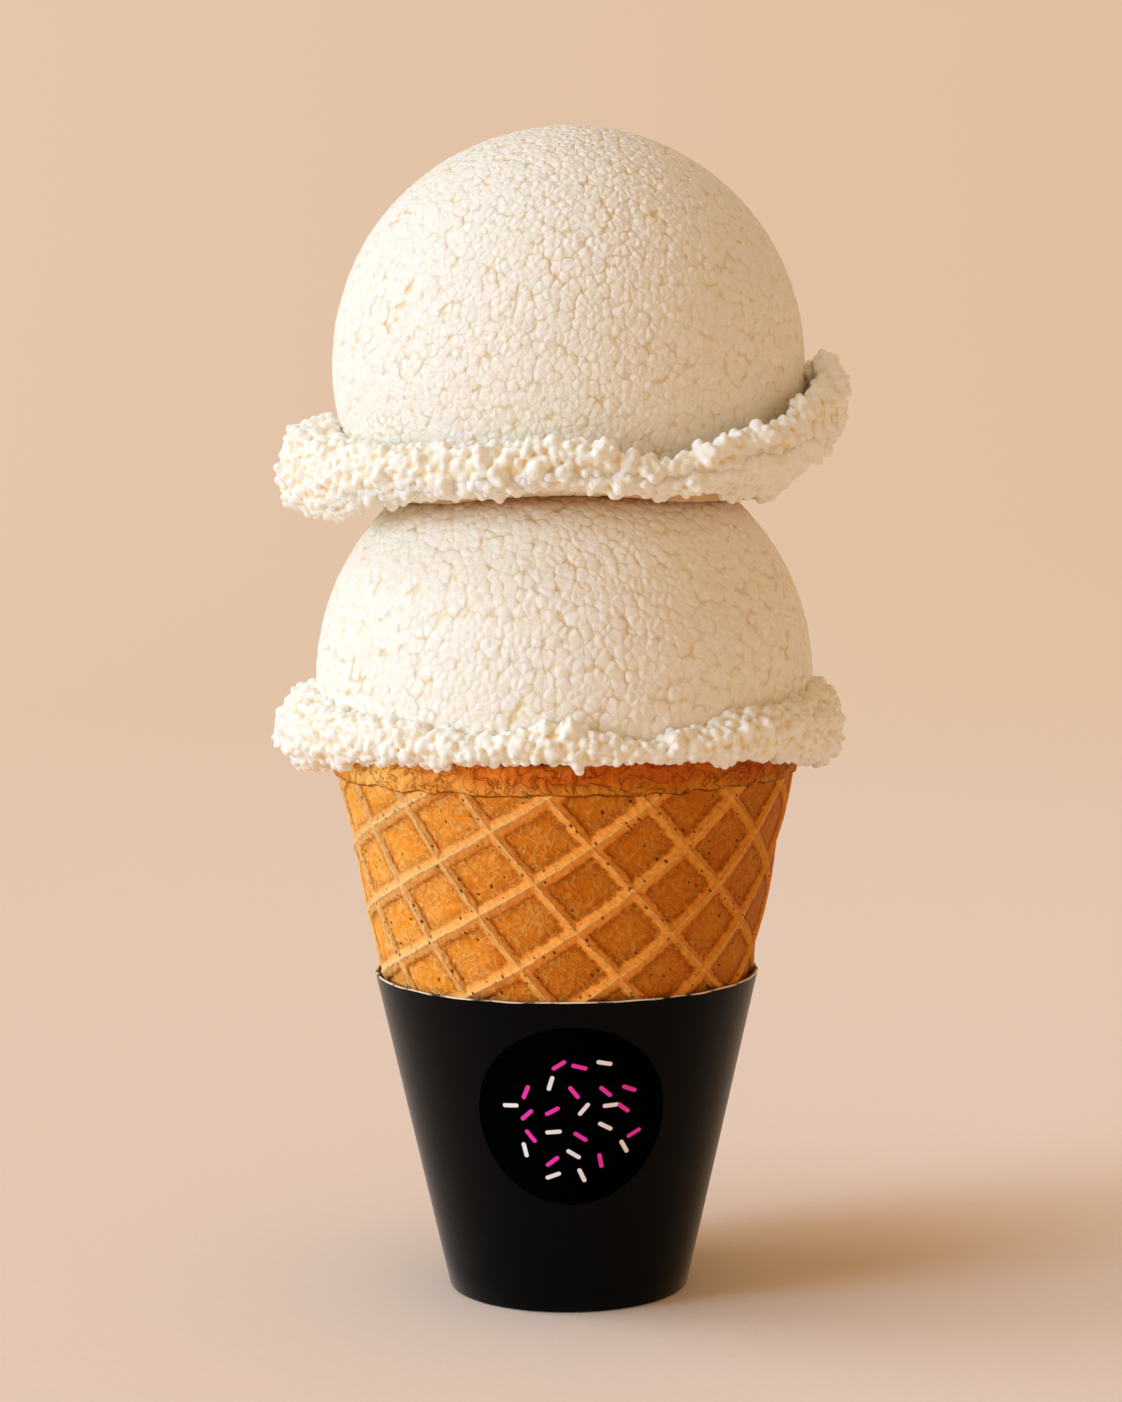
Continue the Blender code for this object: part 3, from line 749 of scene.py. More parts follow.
def pressed_ice_cream(name, crumb, seed, seam_shade_from, seam_shade_to):
    """The domes' material: the crumbs of the relief, coloured, with painted highlights on their edges,
    painted shade in their pits, and painted shade where the scoops meet, between two heights.
    """
    material, tree, shader = new_material(name)
    rest = add_node(tree, "ShaderNodeAttribute", attribute_name="rest_place").outputs["Vector"]
    height, edge, pit, hue = crumb_relief(tree, rest, crumb, seed)
    own_white = add_node(tree, "ShaderNodeSeparateXYZ", [hue]).outputs[1]
    colour = add_node(tree, "ShaderNodeMix",
                      {0: own_white, 6: linear("#f7f0db"), 7: linear("#fcf7e9")}, **COLOUR)
    # painted highlight: a whiter line along each crumb's edge, where edges catch the light
    rim = add_node(tree, "ShaderNodeMapRange", [edge, 0.02, 0.08, 0.5, 0.0], **SOFT)
    # painted shade: the pits where crumbs meet turn cream yellow, more in some patches
    patches = add_node(tree, "ShaderNodeTexNoise",
                       {"Vector": rest, "Scale": 1.0 / PATCH_SIZE, "Detail": 2.0})
    strong = add_node(tree, "ShaderNodeMapRange", [patches, 0.38, 0.62, 0.25, 0.95])
    painted_pit_shade = add_node(tree, "ShaderNodeMath", [pit, strong], operation="MULTIPLY")
    # painted shade at the seam where the scoops touch, in caramel
    level = add_node(tree, "ShaderNodeSeparateXYZ", [rest]).outputs[2]
    painted_seam_shade = add_node(tree, "ShaderNodeMapRange", [level, seam_shade_from, seam_shade_to, 0.0, 0.8], **SOFT)
    for share, code in ((rim, "#fffcf5"), (painted_pit_shade, "#ebd6a0"), (painted_seam_shade, "#cc9848")):
        colour = add_node(tree, "ShaderNodeMix", {0: share, 6: colour, 7: linear(code)}, **COLOUR)
    crumbs = add_node(tree, "ShaderNodeBump", {"Strength": 1.0, "Distance": 0.13 * MM, "Height": height})
    ice = add_node(tree, "ShaderNodeTexNoise", {"Vector": rest, "Scale": 1.0 / ICE_GRAIN, "Detail": 3.0})
    bump = add_node(tree, "ShaderNodeBump", {"Strength": 0.3, "Distance": 0.04 * MM, "Height": ice,
                                             "Normal": crumbs})
    give_inputs(shader, {**ICE_CREAM, "Base Color": colour, "Normal": bump,
                         "Subsurface Weight": 0.4, "Subsurface Scale": 0.8 * MM})
    return material


# %% [markdown]
# The torn skin of the collars has no pressed crumbs to colour. It is white on the crests, with
# painted shade in cream yellow in the hollows that were measured before, and a finer crumb relief makes it
# look broken.

# %% Torn ice cream, for the collars
TORN_CRUMB = 0.75 * MM
TORN_GRAIN = 0.4 * MM
TORN_SEED = 7.0


def torn_ice_cream(name):
    """The collars' material: white crests, painted shade in the hollows and two sizes of grain."""
    material, tree, shader = new_material(name)
    hollow = add_node(tree, "ShaderNodeAttribute", attribute_name="hollow").outputs["Fac"]
    place = add_node(tree, "ShaderNodeTexCoord").outputs["Object"]
    height, _, _, _ = crumb_relief(tree, place, TORN_CRUMB, TORN_SEED)
    # painted shade: the deeper a hollow lies, the more cream yellow it is painted
    painted_hollow_shade = add_node(tree, "ShaderNodeMapRange", [hollow, -0.02, 0.28, 0.0, 1.0], **SOFT)
    colour = add_node(tree, "ShaderNodeMix", {0: painted_hollow_shade, 6: linear("#fcf7e8"), 7: linear("#f1d896")},
                      **COLOUR)
    ice = add_node(tree, "ShaderNodeTexNoise", {"Vector": place, "Scale": 1.0 / TORN_GRAIN, "Detail": 3.0})
    grains = add_node(tree, "ShaderNodeBump", {"Strength": 0.8, "Distance": 0.08 * MM, "Height": height})
    bump = add_node(tree, "ShaderNodeBump", {"Strength": 0.4, "Distance": 0.08 * MM, "Height": ice,
                                             "Normal": grains})
    give_inputs(shader, {**ICE_CREAM, "Base Color": colour, "Normal": bump,
                         "Subsurface Weight": 0.6, "Subsurface Scale": 1.1 * MM})
    return material


# %% [markdown]
# The painted shade at the seam begins a millimetre above the line of contact on the upper dome,
# and two below it on the lower one. The three torn skins share one material, as they are the same ice
# cream.

# %% Finish the ice cream
upper_skin = pressed_ice_cream("vanilla_ice_cream_upper", UPPER_CRUMB, UPPER_SEED,
                               SEAM_TOP + 0.9 * MM, SEAM_TOP - 0.3 * MM)
lower_skin = pressed_ice_cream("vanilla_ice_cream_lower", LOWER_CRUMB, LOWER_SEED,
                               SEAM_TOP - 2.2 * MM, SEAM_TOP - 0.2 * MM)
torn_skin = torn_ice_cream("vanilla_ice_cream_torn")
finish_piece(upper_dome, "upper_dome", "upper_scoop", [upper_skin])
finish_piece(lower_dome, "lower_dome", "lower_scoop", [lower_skin])
finish_piece(upper_collar, "upper_collar", "upper_scoop", [torn_skin])
finish_piece(underside, "upper_underside", "upper_scoop", [torn_skin])
finish_piece(lower_collar, "lower_collar", "lower_scoop", [torn_skin])

# %% [markdown]
# ## Waffle cup: the rolled sheet
# The cup is a flat waffle, rolled into a cone while it is hot. The iron's pattern is straight on
# the flat waffle and bends only as it is rolled, so a pattern laid straight on a cone would look
# wrong. Here a grid becomes the rolled cone, and every point keeps its place on the flat sheet,
# with x to the side and y away from the cone's apex, for the pattern to follow. The sheet's two
# ends meet at the back, one over the other.

# %% Roll a sheet
CUP_SLOPE = math.atan(CUP_TAPER)
APEX = SLEEVE_HEIGHT - CUP_AT_SLEEVE / CUP_TAPER
HIDDEN_BELOW = 38.4 * MM
FINE_ABOVE = HIDDEN_BELOW - 0.6 * MM
FOOT_RADIUS = 14.8 * MM
SEAM_AZIMUTH = 82.0
SEAM_STEP = 1.2 * MM
SEAM_RUN = 60.0
SHOWN_ROWS = 118
HIDDEN_ROWS = 12
AROUND = 640


def slant_at(height):
    """Distance from the cone's apex along its side."""
    return (height - APEX) / math.cos(CUP_SLOPE)


def cup_radius(height):
    """The cup's radius, which shrinks faster where the sleeve hides it."""
    if height >= HIDDEN_BELOW:
        return CUP_AT_SLEEVE + (height - SLEEVE_HEIGHT) * CUP_TAPER
    knee = CUP_AT_SLEEVE + (HIDDEN_BELOW - SLEEVE_HEIGHT) * CUP_TAPER
    return FOOT_RADIUS + (knee - FOOT_RADIUS) * (height - CUP_FOOT) / (HIDDEN_BELOW - CUP_FOOT)


row_heights = [CUP_FOOT + (FINE_ABOVE - CUP_FOOT) * row / HIDDEN_ROWS for row in range(HIDDEN_ROWS)]
row_heights += [FINE_ABOVE + (CUP_TOP - FINE_ABOVE) * row / SHOWN_ROWS for row in range(SHOWN_ROWS + 1)]
last_row = len(row_heights) - 1
start_fresh()
bpy.ops.mesh.primitive_grid_add(x_subdivisions=AROUND, y_subdivisions=last_row, size=2.0)
cup = bpy.context.object
sheet_places = []
for vertex in cup.data.vertices:
    height = row_heights[round((vertex.co.y + 1.0) / 2.0 * last_row)]
    past_seam = 360.0 * (vertex.co.x + 1.0) / 2.0
    azimuth = math.radians(SEAM_AZIMUTH + past_seam)
    from_front = math.radians((SEAM_AZIMUTH + past_seam + 90.0) % 360.0)
    if from_front > math.pi:
        from_front -= 2.0 * math.pi
    turn_on_sheet = from_front * math.sin(CUP_SLOPE)
    slant = slant_at(height)
    sheet_places += [slant * math.sin(turn_on_sheet), slant * math.cos(turn_on_sheet), height]
    drop = SEAM_STEP * (1.0 - smooth_step(0.0, SEAM_RUN, past_seam))
    reach = cup_radius(height) - drop
    vertex.co = (reach * math.cos(azimuth), reach * math.sin(azimuth), height)
kept = cup.data.attributes.new("sheet_place", "FLOAT_VECTOR", "POINT")
kept.data.foreach_set("vector", sheet_places)
print("waffle sheet rolled from", len(cup.data.vertices), "points")

# %% [markdown]
# ## Waffle cup: what the iron leaves
# The iron leaves two families of ribs, about 8 mm apart, which cross at a slant. A rib has a thin
# crest, a roof that falls to both sides, and a flank with crumbly edges. Ribs modelled as bars would
# be too clean, so the distance from the nearest rib is worked out for every place, and broken
# noise is added to it before it becomes a height.

# %% Ribs
RISING = math.radians(34.0)
FALLING = math.radians(130.0)
RISING_SPACING = 8.05 * MM
FALLING_SPACING = 8.52 * MM
BAND_LEVEL = 67.2 * MM
CROSSING = (-3.95 * MM, slant_at(BAND_LEVEL) - 11.2 * MM)
CHIP_SIZE = 0.75 * MM
CHIP_DEPTH = 0.9 * MM


def distance_to_ribs(tree, place, angle, spacing):
    """Distance from the nearest rib of one family, in metres, from a place on the sheet."""
    across = (-math.sin(angle), math.cos(angle), 0.0)
    offset = CROSSING[0] * across[0] + CROSSING[1] * across[1]
    along = add_node(tree, "ShaderNodeVectorMath", [place, across], operation="DOT_PRODUCT")
    counted = add_node(tree, "ShaderNodeMath", [along, 1.0 / spacing, 0.5 - offset / spacing],
                       operation="MULTIPLY_ADD")
    wrapped = add_node(tree, "ShaderNodeMath", [counted, 1.0, 0.0], operation="WRAP")
    centred = add_node(tree, "ShaderNodeMath", [wrapped, 0.5], operation="SUBTRACT")
    share = add_node(tree, "ShaderNodeMath", [centred], operation="ABSOLUTE")
    return add_node(tree, "ShaderNodeMath", [share, spacing], operation="MULTIPLY")


def iron_ribs(tree, flat):
    """Masks for the ribs: crest, roof, flank, the pocket between them and the painted shade beside them.
    """
    ragged = flat
    for size, amount in ((7.0 * MM, 0.6 * MM), (1.0 * MM, 0.42 * MM)):
        wobble = add_node(tree, "ShaderNodeTexNoise", {"Vector": flat, "Scale": 1.0 / size, "Detail": 1.0})
        centred = add_node(tree, "ShaderNodeVectorMath", [wobble.outputs["Color"], HALF],
                           operation="SUBTRACT")
        push = add_node(tree, "ShaderNodeVectorMath", {0: centred, "Scale": amount}, operation="SCALE")
        ragged = add_node(tree, "ShaderNodeVectorMath", [ragged, push], operation="ADD")
    rising = distance_to_ribs(tree, ragged, RISING, RISING_SPACING)
    falling = distance_to_ribs(tree, ragged, FALLING, FALLING_SPACING)
    narrower = add_node(tree, "ShaderNodeMath", [falling, 1.3], operation="MULTIPLY")
    nearest = add_node(tree, "ShaderNodeMath", [rising, narrower, 0.4 * MM], operation="SMOOTH_MIN")
    chips = add_node(tree, "ShaderNodeTexNoise", {"Vector": flat, "Scale": 1.0 / CHIP_SIZE, "Detail": 2.0})
    chipped = add_node(tree, "ShaderNodeMath", [chips, CHIP_DEPTH, nearest], operation="MULTIPLY_ADD")
    crest = add_node(tree, "ShaderNodeMapRange", [nearest, 0.12 * MM, 0.36 * MM, 1.0, 0.0], **SOFT)
    roof = add_node(tree, "ShaderNodeMapRange", [nearest, 0.0, 1.3 * MM, 1.0, 0.0])
    flank = add_node(tree, "ShaderNodeMapRange", [chipped, 1.3 * MM, 1.95 * MM, 1.0, 0.0], **SOFT)
    # painted shade in the pocket beside each rib, where the rib shades it
    beside = add_node(tree, "ShaderNodeMapRange", [chipped, 1.7 * MM, 3.0 * MM, 1.0, 0.0], **SOFT)
    pocket = add_node(tree, "ShaderNodeMath", [1.0, flank], operation="SUBTRACT")
    painted_recess_shade = add_node(tree, "ShaderNodeMath", [beside, pocket], operation="MULTIPLY")
    return {"crest": crest, "roof": roof, "flank": flank, "pocket": pocket, "painted_recess_shade": painted_recess_shade}


print("ribs", RISING_SPACING / MM, "and", FALLING_SPACING / MM, "mm apart")

# %% [markdown]
# Batter that dries on the iron leaves faint raised curls in the pockets: lines of a swirling
# noise. Bubbles burst while it bakes and leave pinholes about 0.2 mm across, most of them on the
# ribs. They are cells of a pattern about a millimetre wide, drawn out along the falling ribs, and
# chance opens some of them. The grain runs the same way.

# %% Curls, pinholes and grain
CURL_SIZE = 2.2 * MM
CURL_TURNS = 4.0
BUBBLE_SPACING = 1.05 * MM
BUBBLE_STRETCH = (0.75, 1.3, 1.0)
GRAIN_SIZE = 0.6 * MM
GRAIN_STRETCH = (0.6, 1.0, 1.0)


def baked_details(tree, flat, roof, pocket):
    """Masks for the curls and the pinholes, and the grain."""
    swirl = add_node(tree, "ShaderNodeTexNoise",
                     {"Vector": flat, "Scale": 1.0 / CURL_SIZE, "Detail": 1.0, "Distortion": 2.0})
    turns = add_node(tree, "ShaderNodeMath", [swirl, CURL_TURNS], operation="MULTIPLY")
    swing = add_node(tree, "ShaderNodeMath", [turns, 1.0], operation="PINGPONG")
    line = add_node(tree, "ShaderNodeMapRange", [swing, 0.0, 0.4, 1.0, 0.0], **SOFT)
    curl = add_node(tree, "ShaderNodeMath", [line, pocket], operation="MULTIPLY")
    turned = add_node(tree, "ShaderNodeVectorRotate", {"Vector": flat, "Angle": -FALLING},
                      rotation_type="Z_AXIS")
    bubble_place = add_node(tree, "ShaderNodeVectorMath", [turned, BUBBLE_STRETCH], operation="MULTIPLY")
    bubbles = add_node(tree, "ShaderNodeTexVoronoi",
                       {"Vector": bubble_place, "Scale": 1.0 / BUBBLE_SPACING, "Randomness": 1.0},
                       feature="F1")
    chance = add_node(tree, "ShaderNodeSeparateXYZ", [bubbles.outputs["Color"]])
    limit = add_node(tree, "ShaderNodeMapRange", [roof, 0.1, 0.6, 0.3, 0.9])
    burst = add_node(tree, "ShaderNodeMath", [chance, limit], operation="LESS_THAN")
    width = add_node(tree, "ShaderNodeMapRange", [chance.outputs[1], 0.0, 1.0, 0.09, 0.21])
    near = add_node(tree, "ShaderNodeMath", [bubbles.outputs["Distance"], width], operation="DIVIDE")
    opening = add_node(tree, "ShaderNodeMapRange", [near, 0.6, 1.15, 1.0, 0.0], **SOFT)
    pinhole = add_node(tree, "ShaderNodeMath", [opening, burst], operation="MULTIPLY")
    grain_place = add_node(tree, "ShaderNodeVectorMath", [turned, GRAIN_STRETCH], operation="MULTIPLY")
    grain = add_node(tree, "ShaderNodeTexNoise",
                     {"Vector": grain_place, "Scale": 1.0 / GRAIN_SIZE, "Detail": 3.0})
    return {"curl": curl, "pinhole": pinhole, "grain": grain.outputs["Fac"]}


print("pinholes drawn about", BUBBLE_SPACING / MM, "mm apart")

# %% [markdown]
# At the top the iron has no ribs. The waffle ends there in a plain band, whose lower edge is a
# wavy lip, and whose skin swells and cracks. Everything is added up to one height in metres. It
# is zero on the cup's outer skin, and the pockets lie below it.

# %% Band and whole relief
BAND_PROUD = 0.35 * MM
CRACK_DEPTH = 0.12 * MM
LIP_SIZE = 4.0 * MM
LIP_WAVE = 1.6 * MM
TEAR_SIZE = 2.4 * MM
POCKET_DEPTH = 0.52 * MM
WEIGHTS = {"flank": 0.22, "roof": 0.64, "crest": 0.06, "pinhole": -0.3, "curl": 0.07, "grain": 0.26}


def rim_band(tree, flat, level):
    """The band's mask, its cracks and its height."""
    wave = add_node(tree, "ShaderNodeTexNoise", {"Vector": flat, "Scale": 1.0 / LIP_SIZE, "Detail": 3.0})
    lip = add_node(tree, "ShaderNodeMath", [wave, LIP_WAVE, level], operation="MULTIPLY_ADD")
    band = add_node(tree, "ShaderNodeMapRange", [lip, BAND_LEVEL + 0.65 * MM, BAND_LEVEL + 0.95 * MM],
                    **SOFT)
    torn = add_node(tree, "ShaderNodeTexNoise",
                    {"Vector": flat, "Scale": 1.0 / TEAR_SIZE, "Detail": 3.0, "Distortion": 0.6})
    swell = add_node(tree, "ShaderNodeMapRange", [torn, 0.3, 0.7, BAND_PROUD * 0.1, BAND_PROUD * 1.2])
    gap = add_node(tree, "ShaderNodeMath", [torn, 0.5], operation="SUBTRACT")
    off_gap = add_node(tree, "ShaderNodeMath", [gap], operation="ABSOLUTE")
    crack = add_node(tree, "ShaderNodeMapRange", [off_gap, 0.004, 0.014, 1.0, 0.0], **SOFT)
    height = add_node(tree, "ShaderNodeMath", [crack, -CRACK_DEPTH, swell], operation="MULTIPLY_ADD")
    shown_crack = add_node(tree, "ShaderNodeMath", [crack, band], operation="MULTIPLY")
    return {"band": band, "crack": shown_crack}, height


def waffle_relief(tree, place):
    """All masks of the iron's print, and its height in metres, from a place on the sheet."""
    flat = add_node(tree, "ShaderNodeVectorMath", [place, (1.0, 1.0, 0.0)], operation="MULTIPLY")
    level = add_node(tree, "ShaderNodeSeparateXYZ", [place]).outputs[2]
    parts = iron_ribs(tree, flat)
    parts.update(baked_details(tree, flat, parts["roof"], parts["pocket"]))
    band_parts, band_height = rim_band(tree, flat, level)
    parts.update(band_parts)
    print_height = -1.0
    for name, weight in WEIGHTS.items():
        print_height = add_node(tree, "ShaderNodeMath", [parts[name], weight, print_height],
                                operation="MULTIPLY_ADD")
    in_metres = add_node(tree, "ShaderNodeMath", [print_height, POCKET_DEPTH], operation="MULTIPLY")
    parts["height"] = add_node(tree, "ShaderNodeMix",
                               {0: parts["band"], 2: in_metres, 3: band_height}, data_type="FLOAT")
    return parts


print("pockets", POCKET_DEPTH / MM, "mm deep, band", BAND_PROUD / MM, "mm proud")

# %% [markdown]
# The relief moves the cup's points straight away from its axis. It fades out where the sleeve
# hides the cup, so that the cup can't push through the card.

# %% Press the iron's print into the cup
FADE = 0.7 * MM
tree, geometry = new_mesh_nodes("waffle_iron")
sheet = add_node(tree, "GeometryNodeInputNamedAttribute", {"Name": "sheet_place"},
                 data_type="FLOAT_VECTOR").outputs["Attribute"]
relief = waffle_relief(tree, sheet)
position = add_node(tree, "GeometryNodeInputPosition")
from_axis = add_node(tree, "ShaderNodeVectorMath", [position, (1.0, 1.0, 0.0)], operation="MULTIPLY")
outward = add_node(tree, "ShaderNodeVectorMath", [from_axis], operation="NORMALIZE")
level = add_node(tree, "ShaderNodeSeparateXYZ", [sheet]).outputs[2]
shown = add_node(tree, "ShaderNodeMapRange", [level, HIDDEN_BELOW - FADE, HIDDEN_BELOW, 0.0, 1.0])
amount = add_node(tree, "ShaderNodeMath", [relief["height"], shown], operation="MULTIPLY")
offset = add_node(tree, "ShaderNodeVectorMath", {0: outward, "Scale": amount}, operation="SCALE")
moved = add_node(tree, "GeometryNodeSetPosition", {"Geometry": geometry, "Offset": offset})
apply_mesh_nodes(cup, tree, moved)
print("print pressed into", len(cup.data.vertices), "points")

# %% [markdown]
# The rolled sheet is still open at its seam, its foot and its mouth. The two ends of each row are
# joined by a step of faces, and then the foot and the mouth are filled, so that the cup is one
# closed solid. Creases sharper than 50 degrees stay sharp.

# %% Close the cup
SEAM_TOLERANCE = 0.05
SAME_LEVEL = 0.01 * MM
body = bmesh.new()
body.from_mesh(cup.data)
near_seam = {}
for vertex in body.verts:
    azimuth = math.degrees(math.atan2(vertex.co.y, vertex.co.x)) % 360.0
    if vertex.is_boundary and abs(azimuth - SEAM_AZIMUTH) < SEAM_TOLERANCE:
        near_seam.setdefault(round(vertex.co.z / SAME_LEVEL), []).append(vertex)
rows = [sorted(pair, key=lambda point: point.co.xy.length) for level, pair in sorted(near_seam.items())
        if len(pair) == 2]
for below, above in zip(rows, rows[1:]):
    body.faces.new((below[0], below[1], above[1], above[0]))
open_edges = [edge for edge in body.edges if edge.is_boundary]
bmesh.ops.holes_fill(body, edges=open_edges, sides=0)
bmesh.ops.triangulate(body, faces=[face for face in body.faces if len(face.verts) > 4])
bmesh.ops.recalc_face_normals(body, faces=body.faces[:])
still_open = sum(1 for edge in body.edges if not edge.is_manifold)
body.to_mesh(cup.data)
body.free()
start_fresh(cup)
bpy.ops.object.shade_smooth()
bpy.ops.object.shade_smooth_by_angle(angle=math.radians(50.0))
print("waffle cup closed,", still_open, "open edges left")

# %% [markdown]
# ## Waffle cup: the baked material
# Waffle is baked sugar and flour. It is dull, because its surface is dry and full of tiny pores,
# and golden brown where the hot iron touched it longest. The eye sees pale crests, orange
# pockets with painted shade beside the ribs, pinholes and cracks painted dark as shade, and
# blotches about 6 mm wide. Each part of the relief paints its own colour over the last one.

# %% Colours of the baked waffle
BLOTCH_SIZE = 6.0 * MM
baked, tree, shader = new_material("baked_waffle")
sheet = add_node(tree, "ShaderNodeAttribute", attribute_name="sheet_place").outputs["Vector"]
relief = waffle_relief(tree, sheet)
blotches = add_node(tree, "ShaderNodeTexNoise",
                    {"Vector": sheet, "Scale": 1.0 / BLOTCH_SIZE, "Detail": 4.0})
pocket_colour = ramp_colours(add_node(tree, "ShaderNodeValToRGB", [blotches]),
                             ((0.32, "#f09222"), (0.5, "#f8a02c"), (0.68, "#ffb044")))
band_colour = ramp_colours(add_node(tree, "ShaderNodeValToRGB", [blotches]),
                           ((0.3, "#f09830"), (0.5, "#fcae48"), (0.7, "#ffc264")))
rib_colour = linear("#ffb04c")
for share, code in ((relief["roof"], "#ffcc80"), (relief["crest"], "#ffd28a")):
    rib_colour = add_node(tree, "ShaderNodeMix", {0: share, 6: rib_colour, 7: linear(code)}, **COLOUR)
colour = add_node(tree, "ShaderNodeMix", {0: relief["flank"], 6: pocket_colour, 7: rib_colour}, **COLOUR)
# the pocket beside the ribs, the cracks and the pinholes get painted shade, darker brown
for name, strength, paint in (("painted_recess_shade", 0.5, linear("#b86212")), ("band", 1.0, band_colour),
                              ("curl", 0.55, linear("#ffcc7c")), ("crack", 0.55, linear("#a86018")),
                              ("pinhole", 0.9, linear("#5c2c0c"))):
    share = add_node(tree, "ShaderNodeMath", [relief[name], strength], operation="MULTIPLY")
    colour = add_node(tree, "ShaderNodeMix", {0: share, 6: colour, 7: paint}, **COLOUR)
print("waffle colours mixed for", len(relief), "parts of the relief")

# %% [markdown]
# Painted shade darkens the waffle towards the right, away from the window, in the pockets more
# than on the ribs, so two colour ramps run across the sheet and multiply the colour. The band gets a
# painted shadow of the collar, darker towards its top and not on the lit left, and the grain adds fine
# pale and dark streaks.

# %% Painted shade on the baked waffle
SHEET_HALF = 26.0 * MM
WHITE = linear("#ffffff")
side = add_node(tree, "ShaderNodeSeparateXYZ", [sheet])
from_left = add_node(tree, "ShaderNodeMapRange", [side, -SHEET_HALF, SHEET_HALF])
# painted shade: darker towards the right, away from the window, the pockets more than the ribs
pocket_side_shade = ramp_colours(add_node(tree, "ShaderNodeValToRGB", [from_left]),
                           ((0.0, "#ffffff"), (0.3, "#efddc4"), (0.5, "#d0b47a"), (1.0, "#c1a44b")))
rib_side_shade = ramp_colours(add_node(tree, "ShaderNodeValToRGB", [from_left]),
                        ((0.0, "#ffffff"), (0.5, "#ffdaa3"), (1.0, "#e4be70")))
below_band = add_node(tree, "ShaderNodeMath", [1.0, relief["band"]], operation="SUBTRACT")
on_rib = add_node(tree, "ShaderNodeMath", [relief["flank"], below_band], operation="MULTIPLY")
painted_side_shade = add_node(tree, "ShaderNodeMix", {0: on_rib, 6: pocket_side_shade, 7: rib_side_shade}, **COLOUR)
# painted shadow of the collar on the band: darker towards its top, none on the lit left
collar_shadow_share = relief["band"]
for place, start, end in ((side.outputs[2], BAND_LEVEL + 0.4 * MM, BAND_LEVEL + 2.0 * MM),
                          (side.outputs[0], -22.0 * MM, -6.0 * MM)):
    share = add_node(tree, "ShaderNodeMapRange", [place, start, end], **SOFT)
    collar_shadow_share = add_node(tree, "ShaderNodeMath", [collar_shadow_share, share], operation="MULTIPLY")
band_shadow_tint = add_node(tree, "ShaderNodeMix", {0: collar_shadow_share, 6: WHITE, 7: linear("#f8cc9a")}, **COLOUR)
streak = add_node(tree, "ShaderNodeMapRange", [relief["grain"], 0.32, 0.7, 0.88, 1.16])
for tint_layer in (painted_side_shade, band_shadow_tint, streak):
    colour = add_node(tree, "ShaderNodeMix", {0: 1.0, 6: colour, 7: tint_layer}, **TINT)
bump = add_node(tree, "ShaderNodeBump", {"Strength": 1.0, "Distance": 2.2, "Height": relief["height"]})
give_inputs(shader, {"Base Color": colour, "Normal": bump, "Roughness": 0.6, "IOR": 1.18})
finish_piece(cup, "waffle_cup_baked", "waffle_cup", [baked])

# %% [markdown]
# ## Card sleeve
# The sleeve is thin card, rolled into a cone and glued round a flat floor. Solidify would give a
# cone a wall, but the rounded foot, the floor and the cut edge each need rings of their own, so
# the profile is grown ring by ring: up the outside, over the edge and down the inside. The cut
# edge waves by a tenth of a millimetre, as scissored card does.

# %% Grow the sleeve
SLEEVE_BASE_RADIUS = 15.45 * MM
SLEEVE_WALL = 0.35 * MM
SLEEVE_TAPER = (SLEEVE_RIM_RADIUS - SLEEVE_BASE_RADIUS) / SLEEVE_HEIGHT
SLEEVE_FLOOR = 0.6 * MM
EDGE = 0.16 * MM
EDGE_WAVE = 0.16 * MM
FOOT_ROUNDING = 0.35 * MM
WALL_ROWS = 14

outer_rings = [(SLEEVE_BASE_RADIUS - 0.1 * MM, 0.1 * MM), (SLEEVE_BASE_RADIUS + 0.07 * MM, FOOT_ROUNDING)]
for row in range(1, WALL_ROWS + 1):
    height = FOOT_ROUNDING + (SLEEVE_HEIGHT - EDGE - FOOT_ROUNDING) * row / WALL_ROWS
    outer_rings.append((SLEEVE_BASE_RADIUS + height * SLEEVE_TAPER, height))
outer_rings.append((SLEEVE_RIM_RADIUS - 0.14 * MM, SLEEVE_HEIGHT))
inner_rings = [(SLEEVE_RIM_RADIUS - SLEEVE_WALL, SLEEVE_HEIGHT - 0.05 * MM),
               (SLEEVE_BASE_RADIUS + SLEEVE_FLOOR * SLEEVE_TAPER - SLEEVE_WALL, SLEEVE_FLOOR)]
sleeve = grow_rings(SLEEVE_BASE_RADIUS - FOOT_ROUNDING, outer_rings + inner_rings, 224, closed=True)
for vertex in sleeve.data.vertices:
    if vertex.co.z > SLEEVE_HEIGHT - 0.3 * MM:
        vertex.co.z += EDGE_WAVE * noise.noise(vertex.co * 260.0) - 0.03 * MM
start_fresh(sleeve)
bpy.ops.object.shade_smooth_by_angle(angle=math.radians(30.0))
print("sleeve grown from", len(outer_rings + inner_rings), "rings")

# %% [markdown]
# The card is paper, printed black and coated. The coat is satin, so the middle of the sleeve
# looks deep black while its sides catch the light at a grazing angle: a sheen over a low gloss.
# Paper fibres about 0.7 mm long break the shine up, and slow waves bend it. The cut edge shows the
# card's pale core, with nicks where ink has run in.

